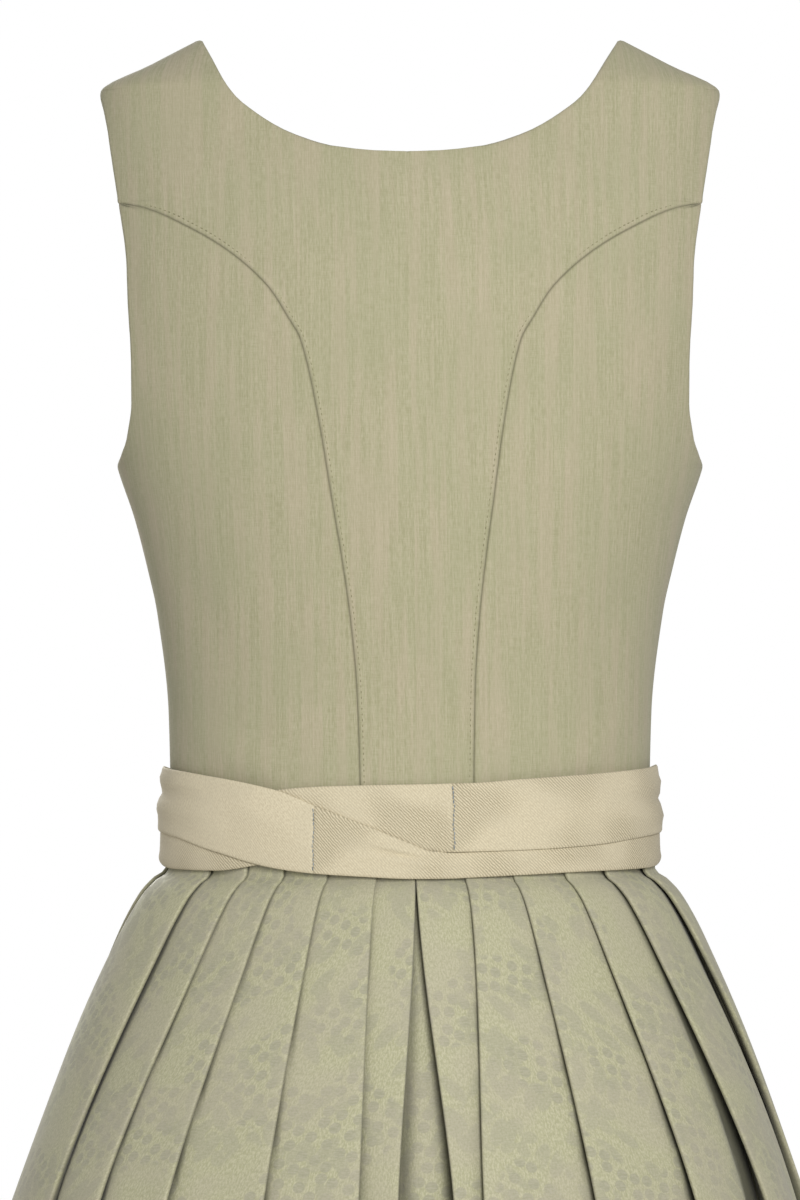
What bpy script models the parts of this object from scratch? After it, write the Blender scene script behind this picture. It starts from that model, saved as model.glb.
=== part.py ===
"""Dirndl dress with its apron, filled out as worn on a hollow general figure.

Millimetres inside the script, metres in the scene. +Z is up, the front faces -Y and the wearer's
left is +X. The origin lies between the shoulder straps, level with the middle of the shoulder
seams, where the wearer's shoulders carry the dress.

Every cloth piece is a wall: a grid of points on its middle surface, moved out and in by half the
cloth's thickness. A place on the figure is (angle, height): 0 degrees is the wearer's left side,
90 the centre back, 180 the right side and 270 the centre front.
"""

import math

import bmesh
import bpy
from mathutils import Vector

MM = 0.001

# Driving heights, measured from the middle of the shoulder seams.
SHOULDER_NECK_Z = 14.5  # inner end of the shoulder seam
SHOULDER_TIP_Z = -14.3  # outer end of the shoulder seam
BACK_NECK_Z = -54.0
FRONT_NECK_Z = -165.0
UNDERARM_Z = -220.0
WAIST_Z = -417.0
HEM_Z = -1117.0
APRON_HEM_Z = -1062.0

# Cloth thicknesses and clearances.
BODICE_THICK = 1.4
SKIRT_THICK = 1.0
APRON_THICK = 1.0
TIE_THICK = 1.1
SEAM_GAP = 0.36
SEAM_INSET = SEAM_GAP / 2

# The bodice panels' upright grid lines stand this far apart, and none closer than the margin to
# a panel's edge.
COLUMN_DEG = 9.0
MARGIN_DEG = 1.2

# The figure under the bodice: one level section a row.
FIGURE_COLUMNS = ("z", "half_width", "back", "front")
FIGURE = (
    (SHOULDER_NECK_Z, 115.0, 38.0, 36.0),
    (0.0, 142.7, 50.0, 46.0),
    (SHOULDER_TIP_Z, 169.5, 60.0, 54.0),
    (-32.0, 172.5, 70.0, 61.0),
    (-80.0, 175.5, 91.0, 76.0),
    (-130.0, 175.5, 101.5, 91.0),
    (-175.0, 170.5, 105.0, 102.0),
    (UNDERARM_Z, 160.2, 106.0, 109.0),
    (-248.0, 150.8, 105.0, 112.0),
    (-275.0, 143.8, 102.0, 111.0),
    (-300.0, 138.3, 99.0, 108.0),
    (-355.0, 132.0, 90.5, 98.5),
    (WAIST_Z, 130.6, 86.0, 93.0),
)

# Fullness that the front princess seams give over the bust.
BUST_OUT = 23.0
BUST_X = 80.0
BUST_Z = -247.0
BUST_SPREAD_X = 46.0
BUST_SPREAD_Z = 48.0

# The armhole's edge seen from the side: how far behind and in front of the shoulder it runs.
ARMHOLE_COLUMNS = ("z", "back", "front")
ARMHOLE = (
    (UNDERARM_Z, 0.0, 0.0),
    (-217.0, 18.0, -20.0),
    (-206.0, 36.5, -38.0),
    (-185.0, 47.5, -52.0),
    (-150.0, 51.3, -58.0),
    (-115.0, 48.6, -54.0),
    (-80.0, 40.0, -46.0),
    (-48.0, 27.0, -33.0),
    (-24.0, 13.5, -17.0),
    (SHOULDER_TIP_Z, 0.0, 0.0),
)

# Seams and necklines as half widths from the centre line.
SEAM_COLUMNS = ("z", "x")
BACK_PRINCESS = (
    (WAIST_Z, 30.0),
    (-390.0, 30.3),
    (-341.0, 31.4),
    (-303.5, 34.2),
    (-272.0, 38.0),
    (-240.0, 42.8),
    (-197.5, 49.2),
    (-155.0, 58.4),
    (-142.5, 65.4),
    (-128.5, 74.1),
    (-118.0, 83.8),
    (-108.5, 95.0),
    (-100.0, 107.3),
    (-92.0, 121.4),
    (-84.5, 136.0),
    (-80.0, 149.0),
    (-78.5, 158.0),
)
FRONT_PRINCESS = (
    (WAIST_Z, 50.0),
    (-350.0, 57.0),
    (-290.0, 71.0),
    (-245.0, 82.0),
    (-205.0, 92.0),
    (-165.0, 106.0),
    (-134.0, 122.0),
    (-115.0, 138.0),
)
BACK_NECKLINE = (
    (BACK_NECK_Z, 0.0),
    (-53.4, 20.0),
    (-50.5, 40.5),
    (-46.0, 55.3),
    (-40.0, 68.7),
    (-31.0, 82.4),
    (-22.5, 92.6),
    (SHOULDER_TIP_Z, 98.9),
    (0.0, 106.9),
    (SHOULDER_NECK_Z, 115.0),
)
FRONT_NECKLINE = (
    (FRONT_NECK_Z, 0.0),
    (-163.5, 25.0),
    (-158.0, 46.0),
    (-148.0, 63.0),
    (-134.0, 75.0),
    (-110.0, 85.0),
    (-80.0, 92.0),
    (-50.0, 97.0),
    (SHOULDER_TIP_Z, 104.5),
    (0.0, 109.0),
    (SHOULDER_NECK_Z, 115.0),
)
BACK_SEAM_DRIFT = 3.9  # both back seams lie this far towards the right side at the waist
BACK_NECK_DRIFT = 1.7  # the back's neckline lies this far towards the left side
SHOULDER_TOP_Z = 13.0  # the shoulder seam's last row, where the strap still has some width

# The panels' rows, from the waist up.
WAIST_LEVELS = (WAIST_Z, -388.0, -358.0, -328.0, -300.0, -272.0, -245.0, UNDERARM_Z)
ARM_LEVELS = (-217.0, -206.0, -185.0, -155.0)
BACK_LEVELS = (-142.5, -128.5, -118.0, -108.5, -100.0, -92.0, -84.5, -80.0, -78.5)
BACK_TOP_LEVELS = (
    BACK_NECK_Z, -53.4, -50.5, -46.0, -40.0, -31.0, -22.5, SHOULDER_TIP_Z, 0.0, SHOULDER_TOP_Z
)
FRONT_LEVELS = (-134.0, -125.0, -117.0, -115.0)
FRONT_TOP_LEVELS = (-90.0, -60.0, -35.0, -22.5, SHOULDER_TIP_Z, 0.0, SHOULDER_TOP_Z)
FRONT_NECK_LEVELS = (FRONT_NECK_Z, -163.5, -158.0, -148.0)

# Centre front closure.
OVERLAP_HALF = 9.0
OVERLAP_OUT = 1.2
OVERLAP_RAMP = (14.0, 32.0)
BUTTON_COUNT = 7
BUTTON_RADIUS = 6.0
BUTTON_THICK = 3.2
BUTTON_TOP_Z = -178.0
BUTTON_PITCH = 32.0
BUTTON_SIDES = 12
BUTTON_BEVEL = 0.9
BUTTON_SHANK = 1.0  # the gap that the sewn shank leaves under a button

# The skirt: one ring a row. fold is the under-fold as a share of the pleat's width, out and into
# are how far the outer and inner folds stand off the ring.
SKIRT_COLUMNS = ("z", "half_width", "back", "front", "fold", "out", "into")
SKIRT = (
    (WAIST_Z - 0.8, 131.4, 87.6, 94.6, 0.72, 1.7, 3.8),
    (-441.6, 132.8, 89.4, 96.4, 0.72, 1.8, 3.8),
    (-445.5, 138.4, 94.4, 101.6, 0.715, 2.0, 3.8),
    (-455.0, 146.9, 102.2, 108.6, 0.71, 2.2, 4.0),
    (-490.0, 164.0, 120.0, 125.5, 0.70, 3.0, 4.6),
    (-560.0, 191.0, 150.0, 153.0, 0.58, 4.2, 6.5),
    (-660.0, 222.5, 187.0, 187.5, 0.32, 7.5, 11.0),
    (-830.0, 267.0, 237.0, 234.5, 0.0, 11.0, 15.0),
    (HEM_Z, 318.0, 296.0, 289.0, -0.20, 14.0, 19.0),
)
LOW_RING_Z = -623.0  # the height at which the pleats' low angles hold
FOLD_TURN = 1.65  # distance between the two layers of a fold

# The pleats' edges across the back: the angle of each at the waist and at LOW_RING_Z. way is 1
# where the panel before the edge, at smaller angles, lies on top, and -1 where the one after it does.
# The two edges at 91 degrees are one inverted pleat, which opens downwards. The side seams lie in
# the folds under the first edge and the last one.
PLEAT_COLUMNS = ("way", "waist", "low")
BACK_PLEATS = (
    (-1, 12.0, -4.0),
    (1, 36.0, 26.0),
    (1, 49.0, 39.0),
    (1, 59.5, 52.5),
    (1, 70.5, 68.5),
    (1, 82.0, 82.5),
    (1, 91.0, 88.0),
    (-1, 91.3, 96.4),
    (-1, 103.0, 100.5),
    (-1, 114.5, 117.5),
    (-1, 128.5, 135.5),
    (-1, 142.0, 153.0),
    (-1, 162.5, 180.0),
)
FRONT_PLEAT_COUNT = 15  # evenly between the last back pleat and the first, all of way 1
WIDEST_DEG = 12.5  # a fold is laid as under a panel of this width, even where its panel is wider
BOX_SHARE = 0.6  # how much narrower the folds are under a panel that lies on top at both edges

# The middle surface of the apron's band and ties, where they lie against the dress.
BAND_COLUMNS = ("z", "half_width", "back", "front")
BAND = (
    (-384.0, 133.8, 90.3, 98.0),
    (-417.0, 136.2, 92.2, 99.6),
    (-441.0, 137.2, 93.8, 100.9),
)
LAYER_STEP = 1.8
BAND_TOP_Z = -397.0
BAND_LOW_Z = -433.0
BAND_FROM, BAND_TO = 192.0, 348.0
BAND_STEPS = 16
TIE_STEP_DEG = 11.0

# The two ties: their edges and the layer each lies in, 0 against the dress and 1 over the other.
# They swap layers where they cross at the centre back, and there they lie one above the other.
TIE_COLUMNS = ("angle", "low", "high", "layer")
LEFT_TIE = (
    (-54.0, -421.0, -401.0, 1.0),
    (-40.0, -427.0, -396.0, 1.0),
    (-20.0, -424.0, -389.0, 1.0),
    (0.0, -419.5, -385.0, 1.0),
    (20.0, -421.0, -386.0, 1.0),
    (40.0, -428.0, -389.0, 1.0),
    (58.0, -436.0, -395.0, 1.0),
    (68.0, -438.5, -403.0, 1.0),
    (80.0, -440.0, -413.2, 1.0),
    (90.0, -441.0, -423.2, 1.0),
    (95.0, -441.0, -428.0, 1.0),
    (99.0, -441.0, -428.2, 0.0),
    (104.0, -440.5, -427.5, 0.0),
    (116.0, -439.5, -421.0, 0.0),
    (135.0, -438.5, -411.0, 0.0),
    (160.0, -438.5, -404.0, 0.0),
    (191.0, -434.0, -398.0, 0.0),
)
RIGHT_TIE = (
    (-11.0, -434.0, -398.0, 0.0),
    (20.0, -439.0, -404.0, 0.0),
    (40.0, -438.5, -401.0, 0.0),
    (58.0, -433.0, -395.0, 0.0),
    (68.0, -430.0, -393.0, 0.0),
    (80.0, -427.0, -392.0, 0.0),
    (90.0, -426.2, -391.5, 0.0),
    (95.0, -426.2, -391.3, 0.0),
    (99.0, -426.4, -391.0, 1.0),
    (104.0, -426.2, -390.8, 1.0),
    (116.0, -426.0, -389.0, 1.0),
    (135.0, -424.5, -387.0, 1.0),
    (160.0, -421.0, -385.0, 1.0),
    (180.0, -420.0, -384.0, 1.0),
    (200.0, -424.0, -388.0, 1.0),
    (240.0, -430.0, -393.0, 1.0),
    (270.0, -428.0, -396.0, 1.0),
    (290.0, -422.0, -401.0, 1.0),
)
LEFT_TIE_SEAM = 68.0
RIGHT_TIE_SEAM = 99.5

# The apron hangs over the skirt's front, outside its pleats. side is how far its edge lies from
# the centre front in degrees, and stand how far its middle surface is off the skirt's outer folds.
APRON_COLUMNS = ("z", "side", "stand", "wave")
APRON = (
    (BAND_LOW_Z - 0.5, 60.0, 1.9, 0.0),
    (-441.6, 60.0, 1.9, 0.0),
    (-445.5, 60.0, 2.0, 0.2),
    (-455.0, 60.0, 2.2, 0.6),
    (-490.0, 59.0, 2.4, 1.6),
    (-560.0, 58.0, 2.6, 2.6),
    (-660.0, 57.0, 2.8, 3.6),
    (-830.0, 56.0, 3.2, 5.5),
    (APRON_HEM_Z, 55.0, 5.0, 7.0),
)
APRON_WAVES = 9
APRON_STEPS = 27

# The bow on the left of the front.
BOW_ANGLE = 293.0
BOW_Z = -411.0
KNOT_WIDTH, KNOT_DEPTH, KNOT_HEIGHT = 24.0, 15.0, 25.0
KNOT_BEVEL = 6.5
LOOP_LENGTH, LOOP_DEPTH, LOOP_HEIGHT = 58.0, 24.0, 34.0
LOOP_DROOP = 20.0
LOOP_STEPS = 14
TAIL_LENGTH = 300.0
TAIL_WIDTH = 36.0
TAIL_STEPS = 8


def columns_of(names, rows):
    """The table as a dictionary of lists, one for each named column."""
    return {name: [row[i] for row in rows] for i, name in enumerate(names)}


def slopes(knots, values):
    """Slopes at the knots of a smooth curve that never overshoots its values."""
    steps = [(values[i + 1] - values[i]) / (knots[i + 1] - knots[i]) for i in range(len(knots) - 1)]
    inner = [2 * p * q / (p + q) if p * q > 0 else 0.0 for p, q in zip(steps, steps[1:])]
    return [steps[0], *inner, steps[-1]]


def smooth_curve(knots, values):
    """A function that runs smoothly through the values at the knots."""
    if knots[0] > knots[-1]:
        knots, values = knots[::-1], values[::-1]
    gradient = slopes(knots, values)

    def at(x):
        x = min(max(x, knots[0]), knots[-1])
        i = max(k for k in range(len(knots) - 1) if knots[k] <= x)
        width = knots[i + 1] - knots[i]
        t = (x - knots[i]) / width
        rise = t * t * (3 - 2 * t)
        return (
            values[i] * (1 - rise)
            + values[i + 1] * rise
            + width * gradient[i] * t * (1 - t) ** 2
            - width * gradient[i + 1] * t * t * (1 - t)
        )

    return at


def smooth_table(names, rows):
    """One smooth function of the first column for each other column."""
    table = columns_of(names, rows)
    knots = table[names[0]]
    return {name: smooth_curve(knots, table[name]) for name in names[1:]}


def smooth_step(low, high, x):
    t = min(max((x - low) / (high - low), 0.0), 1.0)
    return t * t * (3 - 2 * t)


def mix(p, q, t):
    return tuple(a + (b - a) * t for a, b in zip(p, q))


figure = smooth_table(FIGURE_COLUMNS, FIGURE)
armhole = smooth_table(ARMHOLE_COLUMNS, ARMHOLE)
back_princess = smooth_table(SEAM_COLUMNS, BACK_PRINCESS)["x"]
front_princess = smooth_table(SEAM_COLUMNS, FRONT_PRINCESS)["x"]
back_neckline = smooth_table(SEAM_COLUMNS, BACK_NECKLINE)["x"]
front_neckline = smooth_table(SEAM_COLUMNS, FRONT_NECKLINE)["x"]
ring = smooth_table(SKIRT_COLUMNS, SKIRT)
band = smooth_table(BAND_COLUMNS, BAND)


def bust(x, z):
    """How far the bust stands out of the plain section."""
    across = (abs(x) - BUST_X) / BUST_SPREAD_X
    along = (z - BUST_Z) / BUST_SPREAD_Z
    return BUST_OUT * math.exp(-across * across - along * along)


def figure_point(angle, z):
    """The place on the figure at an angle in degrees and a height."""
    turn = math.radians(angle)
    x = figure["half_width"](z) * math.cos(turn)
    if math.sin(turn) >= 0:
        return Vector((x, figure["back"](z) * math.sin(turn), z))
    front = figure["front"](z) * math.sin(turn)
    return Vector((x, front + bust(x, z) * math.sin(turn), z))


def figure_normal(angle, z):
    """The outward direction there, from small steps along and across."""
    across = figure_point(angle + 0.5, z) - figure_point(angle - 0.5, z)
    low, high = max(z - 1.0, WAIST_Z), min(z + 1.0, SHOULDER_NECK_Z)
    along = figure_point(angle, high) - figure_point(angle, low)
    return across.cross(along).normalized()


def angle_at(x, z):
    """The figure's angle, on the back's left half, at a half width and a height."""
    return math.degrees(math.acos(min(x / figure["half_width"](z), 1.0)))


def arm_angle(z, side):
    """The angle of the armhole's edge, or of the side and shoulder seams below and above it."""
    if not UNDERARM_Z < z < SHOULDER_TIP_Z:
        return 0.0
    depth = figure[side](z)
    return math.degrees(math.asin(armhole[side](z) / depth))


def drift(z):
    """Degrees by which the back leans towards the right side."""
    right = BACK_SEAM_DRIFT * smooth_step(-120.0, WAIST_Z, z)
    left = BACK_NECK_DRIFT * smooth_step(-100.0, -55.0, z)
    return math.degrees((right - left) / figure["half_width"](z))


def back_seam_angle(z):
    return angle_at(back_princess(z), z)


def front_seam_angle(z):
    return -angle_at(front_princess(z), z)


def wall(name, grids, material):
    """A closed solid from grids of (outer, inner) points. Grids join where their points coincide."""
    mesh = bmesh.new()
    made = {}

    def vertex(pair):
        key = tuple(round(c, 4) for c in pair[0])
        if key not in made:
            made[key] = tuple(mesh.verts.new(p * MM) for p in pair)
        return made[key]

    cells = []
    for grid in grids:
        for low, high in zip(grid, grid[1:]):
            for corners in zip(low, low[1:], high[1:], high):
                cell = list(dict.fromkeys(vertex(pair) for pair in corners))
                if len(cell) > 2:
                    cells.append(cell)
    edges = {}
    for cell in cells:
        for skin in (0, 1):
            mesh.faces.new([corner[skin] for corner in cell])
        for p, q in zip(cell, cell[1:] + cell[:1]):
            edges.setdefault(frozenset((p, q)), []).append((p, q))
    for sides in edges.values():
        if len(sides) == 1:
            p, q = sides[0]
            mesh.faces.new((p[0], q[0], q[1], p[1]))
    bmesh.ops.recalc_face_normals(mesh, faces=mesh.faces)
    return add_object(name, mesh, material)


def paired(outer, inner):
    """Two grids of points as one grid of (outer, inner) pairs."""
    return [list(zip(p, q)) for p, q in zip(outer, inner)]


def add_object(name, mesh, material):
    """The bmesh as a smooth-shaded object of that name."""
    data = bpy.data.meshes.new(name)
    mesh.to_mesh(data)
    mesh.free()
    data.shade_smooth()
    data.set_sharp_from_angle(angle=math.radians(40))
    data.materials.append(material)
    made = bpy.data.objects.new(name, data)
    bpy.context.scene.collection.objects.link(made)
    return made


def cloth_material(name, colour, roughness):
    material = bpy.data.materials.new(name)
    material.use_nodes = True
    shader = material.node_tree.nodes["Principled BSDF"]
    shader.inputs["Base Color"].default_value = (*colour, 1.0)
    shader.inputs["Roughness"].default_value = roughness
    shader.inputs["Metallic"].default_value = 0.0
    return material


def level_grid(levels, start, end):
    """Places on level rows from angle start(z) to end(z), on upright lines COLUMN_DEG apart.

    Lines outside a row's ends, or nearly at them, move onto the end, where their places coincide.
    """
    spans = [(start(z), max(start(z), end(z))) for z in levels]
    first = math.floor(min(low for low, _ in spans) / COLUMN_DEG)
    last = math.ceil(max(high for _, high in spans) / COLUMN_DEG)
    grid = []
    for z, (low, high) in zip(levels, spans):
        row = []
        for k in range(first, last + 1):
            angle = k * COLUMN_DEG
            if angle < low + MARGIN_DEG:
                angle = low if angle < (low + high) / 2 else high
            elif angle > high - MARGIN_DEG:
                angle = high
            row.append((angle, z))
        row[0], row[-1] = (low, z), (high, z)
        grid.append(row)
    return grid


def seam_edge(edge, side):
    """The edge angle(z) drawn in by SEAM_INSET, square to the seam; side is 1 to larger angles."""
    def at(z):
        width = figure["half_width"](z)
        slope = math.radians(edge(z + 0.5) - edge(z - 0.5)) * width
        return edge(z) + side * math.degrees(SEAM_INSET * math.hypot(1.0, slope) / width)

    return at


def cloth_grid(places, out=lambda point: 0.0):
    """The places on the figure as (outer, inner) pairs of the cloth's thickness."""
    grid = []
    for row in places:
        line = []
        for angle, z in row:
            point, normal = figure_point(angle, z), figure_normal(angle, z)
            stand = out(point)
            line.append(tuple(point + normal * (stand + h * BODICE_THICK) for h in (0.5, -0.5)))
        grid.append(line)
    return grid


def mirrored(places):
    return [[(180.0 - angle, z) for angle, z in row] for row in places]


def leaning(places):
    """The places with the back seams' lean, which fades out towards the side seams."""
    return [[(a + drift(z) * math.sin(math.radians(a)) ** 2, z) for a, z in row] for row in places]


def side_edge(side):
    """The armhole's edge angle(z) on that side; below it the side seam, with its gap."""
    sign = 1 if side == "back" else -1

    def at(z):
        gap = math.degrees(SEAM_INSET / figure["half_width"](z))
        return arm_angle(z, side) + (sign * gap if z <= UNDERARM_Z or z >= SHOULDER_TIP_Z else 0.0)

    return at


def make_back(linen):
    arm = side_edge("back")
    seam = seam_edge(back_seam_angle, 1)

    def start(z):
        return seam(z) if z < BACK_LEVELS[-1] else arm(z)

    def end(z):
        return 90.0 if z <= BACK_NECK_Z else angle_at(back_neckline(z), z)

    levels = WAIST_LEVELS + ARM_LEVELS + BACK_LEVELS + BACK_TOP_LEVELS
    left = level_grid(levels, start, end)
    wall("back", [cloth_grid(leaning(half)) for half in (left, mirrored(left))], linen)


def make_side_backs(linen):
    levels = WAIST_LEVELS + ARM_LEVELS + BACK_LEVELS
    left = level_grid(levels, side_edge("back"), seam_edge(back_seam_angle, -1))
    wall("side_back_left", [cloth_grid(leaning(left))], linen)
    wall("side_back_right", [cloth_grid(leaning(mirrored(left)))], linen)


def closure_out(sign):
    """How far a front panel moves out, or in, where the two overlap at the centre."""
    def out(point):
        return sign * OVERLAP_OUT * (1 - smooth_step(*OVERLAP_RAMP, abs(point.x)))

    return out


def make_fronts(linen):
    arm = side_edge("front")
    seam = seam_edge(front_seam_angle, -1)

    def high(z):
        return seam(z) if z < FRONT_LEVELS[-1] else arm(z)

    def low(z):
        if z <= FRONT_NECK_Z:
            return -90.0 - math.degrees(OVERLAP_HALF / figure["half_width"](z))
        return -angle_at(front_neckline(z), z)

    levels = sorted({*WAIST_LEVELS, *ARM_LEVELS, *FRONT_NECK_LEVELS, *FRONT_LEVELS, *FRONT_TOP_LEVELS})
    centre = level_grid(levels, low, high)
    side = level_grid([z for z in levels if z <= FRONT_LEVELS[-1]], seam_edge(front_seam_angle, 1), arm)
    for name, sign, turn in (("left", -1, list), ("right", 1, mirrored)):
        wall(f"front_{name}", [cloth_grid(turn(centre), closure_out(sign))], linen)
        wall(f"side_front_{name}", [cloth_grid(turn(side))], linen)


def facing(name, mesh, material, place, outward):
    """An object turned so that its own Z points outward, at a place in millimetres."""
    made = add_object(name, mesh, material)
    made.rotation_mode = "QUATERNION"
    made.rotation_quaternion = Vector(outward).to_track_quat("Z", "Y")
    made.location = Vector(place) * MM
    return made


def make_buttons(horn):
    for k in range(BUTTON_COUNT):
        z = BUTTON_TOP_Z - k * BUTTON_PITCH
        outward = figure_normal(270.0, z)
        skin = BODICE_THICK / 2 + OVERLAP_OUT + BUTTON_SHANK + BUTTON_THICK / 2
        mesh = bmesh.new()
        bmesh.ops.create_cone(
            mesh,
            cap_ends=True,
            segments=BUTTON_SIDES,
            radius1=BUTTON_RADIUS * MM,
            radius2=BUTTON_RADIUS * MM,
            depth=BUTTON_THICK * MM,
        )
        rims = [e for e in mesh.edges if abs(e.verts[0].co.z - e.verts[1].co.z) < 1e-6]
        bmesh.ops.bevel(mesh, geom=rims, offset=BUTTON_BEVEL * MM, segments=1, affect="EDGES", profile=0.5, material=-1)
        facing(f"button_{k + 1}", mesh, horn, figure_point(270.0, z) + outward * skin, outward)


def section_point(angle, half_width, back, front, out):
    """A place on a level oval, moved out along the oval's own normal."""
    turn = math.radians(angle)
    depth = back if math.sin(turn) >= 0 else front
    point = Vector((half_width * math.cos(turn), depth * math.sin(turn)))
    normal = Vector((depth * math.cos(turn), half_width * math.sin(turn))).normalized()
    return point + normal * out


def degrees_for(length, angle, half_width, depth):
    """The turn that carries a point that far round the oval."""
    turn = math.radians(angle)
    return math.degrees(length / math.hypot(half_width * math.sin(turn), depth * math.cos(turn)))


def pleat_edges():
    """Each pleat's edge as (way, angle at the waist, angle at LOW_RING_Z), once round."""
    edges = list(BACK_PLEATS)
    start = edges[-1][1:]
    end = tuple(angle + 360.0 for angle in edges[0][1:])
    for k in range(1, FRONT_PLEAT_COUNT + 1):
        edges.append((1, *mix(start, end, k / (FRONT_PLEAT_COUNT + 1))))
    return edges


def pleat_line(z, first, last):
    """The cloth's middle line at a height, through the folds first to last, as ring places."""
    edges = pleat_edges()
    size = {name: curve(z) for name, curve in ring.items()}
    low = smooth_step(WAIST_Z, LOW_RING_Z, z)

    def edge(k):
        turns, index = divmod(k, len(edges))
        way, waist, below = edges[index]
        return way, waist * (1 - low) + below * low + 360.0 * turns

    def fold(k):
        """Edge k's four places, from the panel before it round both folds to the panel after it."""
        way, angle = edge(k)
        other_way, other = edge(k - way)
        lap = size["fold"] * min(abs(angle - other), WIDEST_DEG)
        if way != other_way:
            lap *= BOX_SHARE
        depth = size["back"] if math.sin(math.radians(angle)) >= 0 else size["front"]
        turn = (0.3 if size["fold"] > 0.1 else 1.6) * degrees_for(1.0, angle, size["half_width"], depth)
        places = (
            (angle, size["out"]),
            (angle + way * turn, size["out"] - FOLD_TURN),
            (angle - way * (lap + turn), FOLD_TURN - size["into"]),
            (angle - way * lap, -size["into"]),
        )
        return places if way == 1 else places[::-1]

    def across(k):
        """Two places on the panel from edge k to the next, over the folds' own edges."""
        start, end = fold(k)[-1], fold(k + 1)[0]
        way, angle = edge(k)
        near = angle if way == 1 else fold(k)[0][0]
        way, angle = edge(k + 1)
        far = fold(k + 1)[-1][0] if way == 1 else angle
        near = min(max((near - start[0]) / (end[0] - start[0]), 0.2), 0.48)
        far = max(min((far - start[0]) / (end[0] - start[0]), 0.8), 0.52)
        return mix(start, end, near), mix(start, end, far)

    line = []
    for k in range(first, last + 1):
        line += [*fold(k), *across(k)]
    before, after = fold(first - 1), fold(last + 1)
    line = [mix(before[1], before[2], 0.5), *before[2:], *across(first - 1), *line]
    return [*line, *after[:2], mix(after[1], after[2], 0.5)], size


def offset_line(points, distance):
    """A level line moved sideways by a distance, with mitred corners."""
    moved = []
    for i, point in enumerate(points):
        before = points[max(i - 1, 0)]
        after = points[min(i + 1, len(points) - 1)]
        into = (point - before).normalized() if i else (after - point).normalized()
        away = (after - point).normalized() if i < len(points) - 1 else into
        first = Vector((into.y, -into.x))
        second = Vector((away.y, -away.x))
        mitre = (first + second).normalized()
        moved.append(point + mitre * distance / max(mitre.dot(first), 0.45))
    return moved


def make_skirt(name, first, last, material):
    skins = ([], [])
    for row in SKIRT:
        z = row[0]
        line, size = pleat_line(z, first, last)
        level = [section_point(a, size["half_width"], size["back"], size["front"], r) for a, r in line]
        level[0] += (level[1] - level[0]).normalized() * SEAM_INSET
        level[-1] += (level[-2] - level[-1]).normalized() * SEAM_INSET
        for skin, side in zip(skins, (0.5, -0.5)):
            skin.append([Vector((p.x, p.y, z)) for p in offset_line(level, side * SKIRT_THICK)])
    return wall(name, [paired(*skins)], material)


def band_point(angle, z, layer, side):
    size = [band[name](z) for name in BAND_COLUMNS[1:]]
    point = section_point(angle, *size, layer * LAYER_STEP + side * TIE_THICK)
    return Vector((point.x, point.y, z))


def strip(name, rows, material):
    """A flat band round the waist from (angle, low, high, layer) rows."""
    skins = []
    for side in (0.5, -0.5):
        skins.append([[band_point(a, z, layer, side) for z in (low, high)] for a, low, high, layer in rows])
    return wall(name, [paired(*skins)], material)


def make_ties(twill):
    for name, rows, low, high in (
        ("tie_left_over", LEFT_TIE, None, LEFT_TIE_SEAM),
        ("tie_left_under", LEFT_TIE, LEFT_TIE_SEAM, None),
        ("tie_right_under", RIGHT_TIE, None, RIGHT_TIE_SEAM),
        ("tie_right_over", RIGHT_TIE, RIGHT_TIE_SEAM, None),
    ):
        edges = smooth_table(TIE_COLUMNS, rows)
        gap = math.degrees(SEAM_INSET / band["half_width"](BAND_LOW_Z))
        start = rows[0][0] if low is None else low + gap
        end = rows[-1][0] if high is None else high - gap
        steps = math.ceil((end - start) / TIE_STEP_DEG)
        knots = sorted({start + (end - start) * i / steps for i in range(steps + 1)}
                       | {r[0] for r in rows if start + 1 < r[0] < end - 1 and 85 < r[0] < 110})
        strip(name, [(a, edges["low"](a), edges["high"](a), edges["layer"](a)) for a in knots], twill)


def make_waistband(twill):
    rows = []
    for i in range(BAND_STEPS + 1):
        rows.append((BAND_FROM + (BAND_TO - BAND_FROM) * i / BAND_STEPS, BAND_LOW_Z, BAND_TOP_Z, 0.0))
    return strip("apron_waistband", rows, twill)


def make_apron(twill):
    skins = ([], [])
    top_stand = band["half_width"](-441.0) - ring["half_width"](-442.0) - ring["out"](-442.0) - 1.9
    for z, side, stand, wave in APRON:
        size = {name: curve(z) for name, curve in ring.items()}
        level = []
        for i in range(APRON_STEPS + 1):
            share = i / APRON_STEPS
            angle = 270.0 - side + 2 * side * share
            swing = wave * 0.5 * (1 - math.cos(2 * math.pi * APRON_WAVES * share))
            out = size["out"] + stand + swing + top_stand * (1 - smooth_step(-442.0, -490.0, z))
            level.append(section_point(angle, size["half_width"], size["back"], size["front"], out))
        for skin, half in zip(skins, (0.5, -0.5)):
            skin.append([Vector((p.x, p.y, z)) for p in offset_line(level, half * APRON_THICK)])
    return wall("apron", [paired(*skins)], twill)


def bow_frame():
    """The bow's middle on the band's outer face, its sideways direction and its outward one."""
    middle = band_point(BOW_ANGLE, BOW_Z, 1.0, 0.5)
    turn = math.radians(BOW_ANGLE)
    width, depth = band["half_width"](BOW_Z), band["front"](BOW_Z)
    outward = Vector((depth * math.cos(turn), width * math.sin(turn), 0.0)).normalized()
    sideways = Vector((0, 0, 1)).cross(outward)
    return middle, sideways, outward


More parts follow.
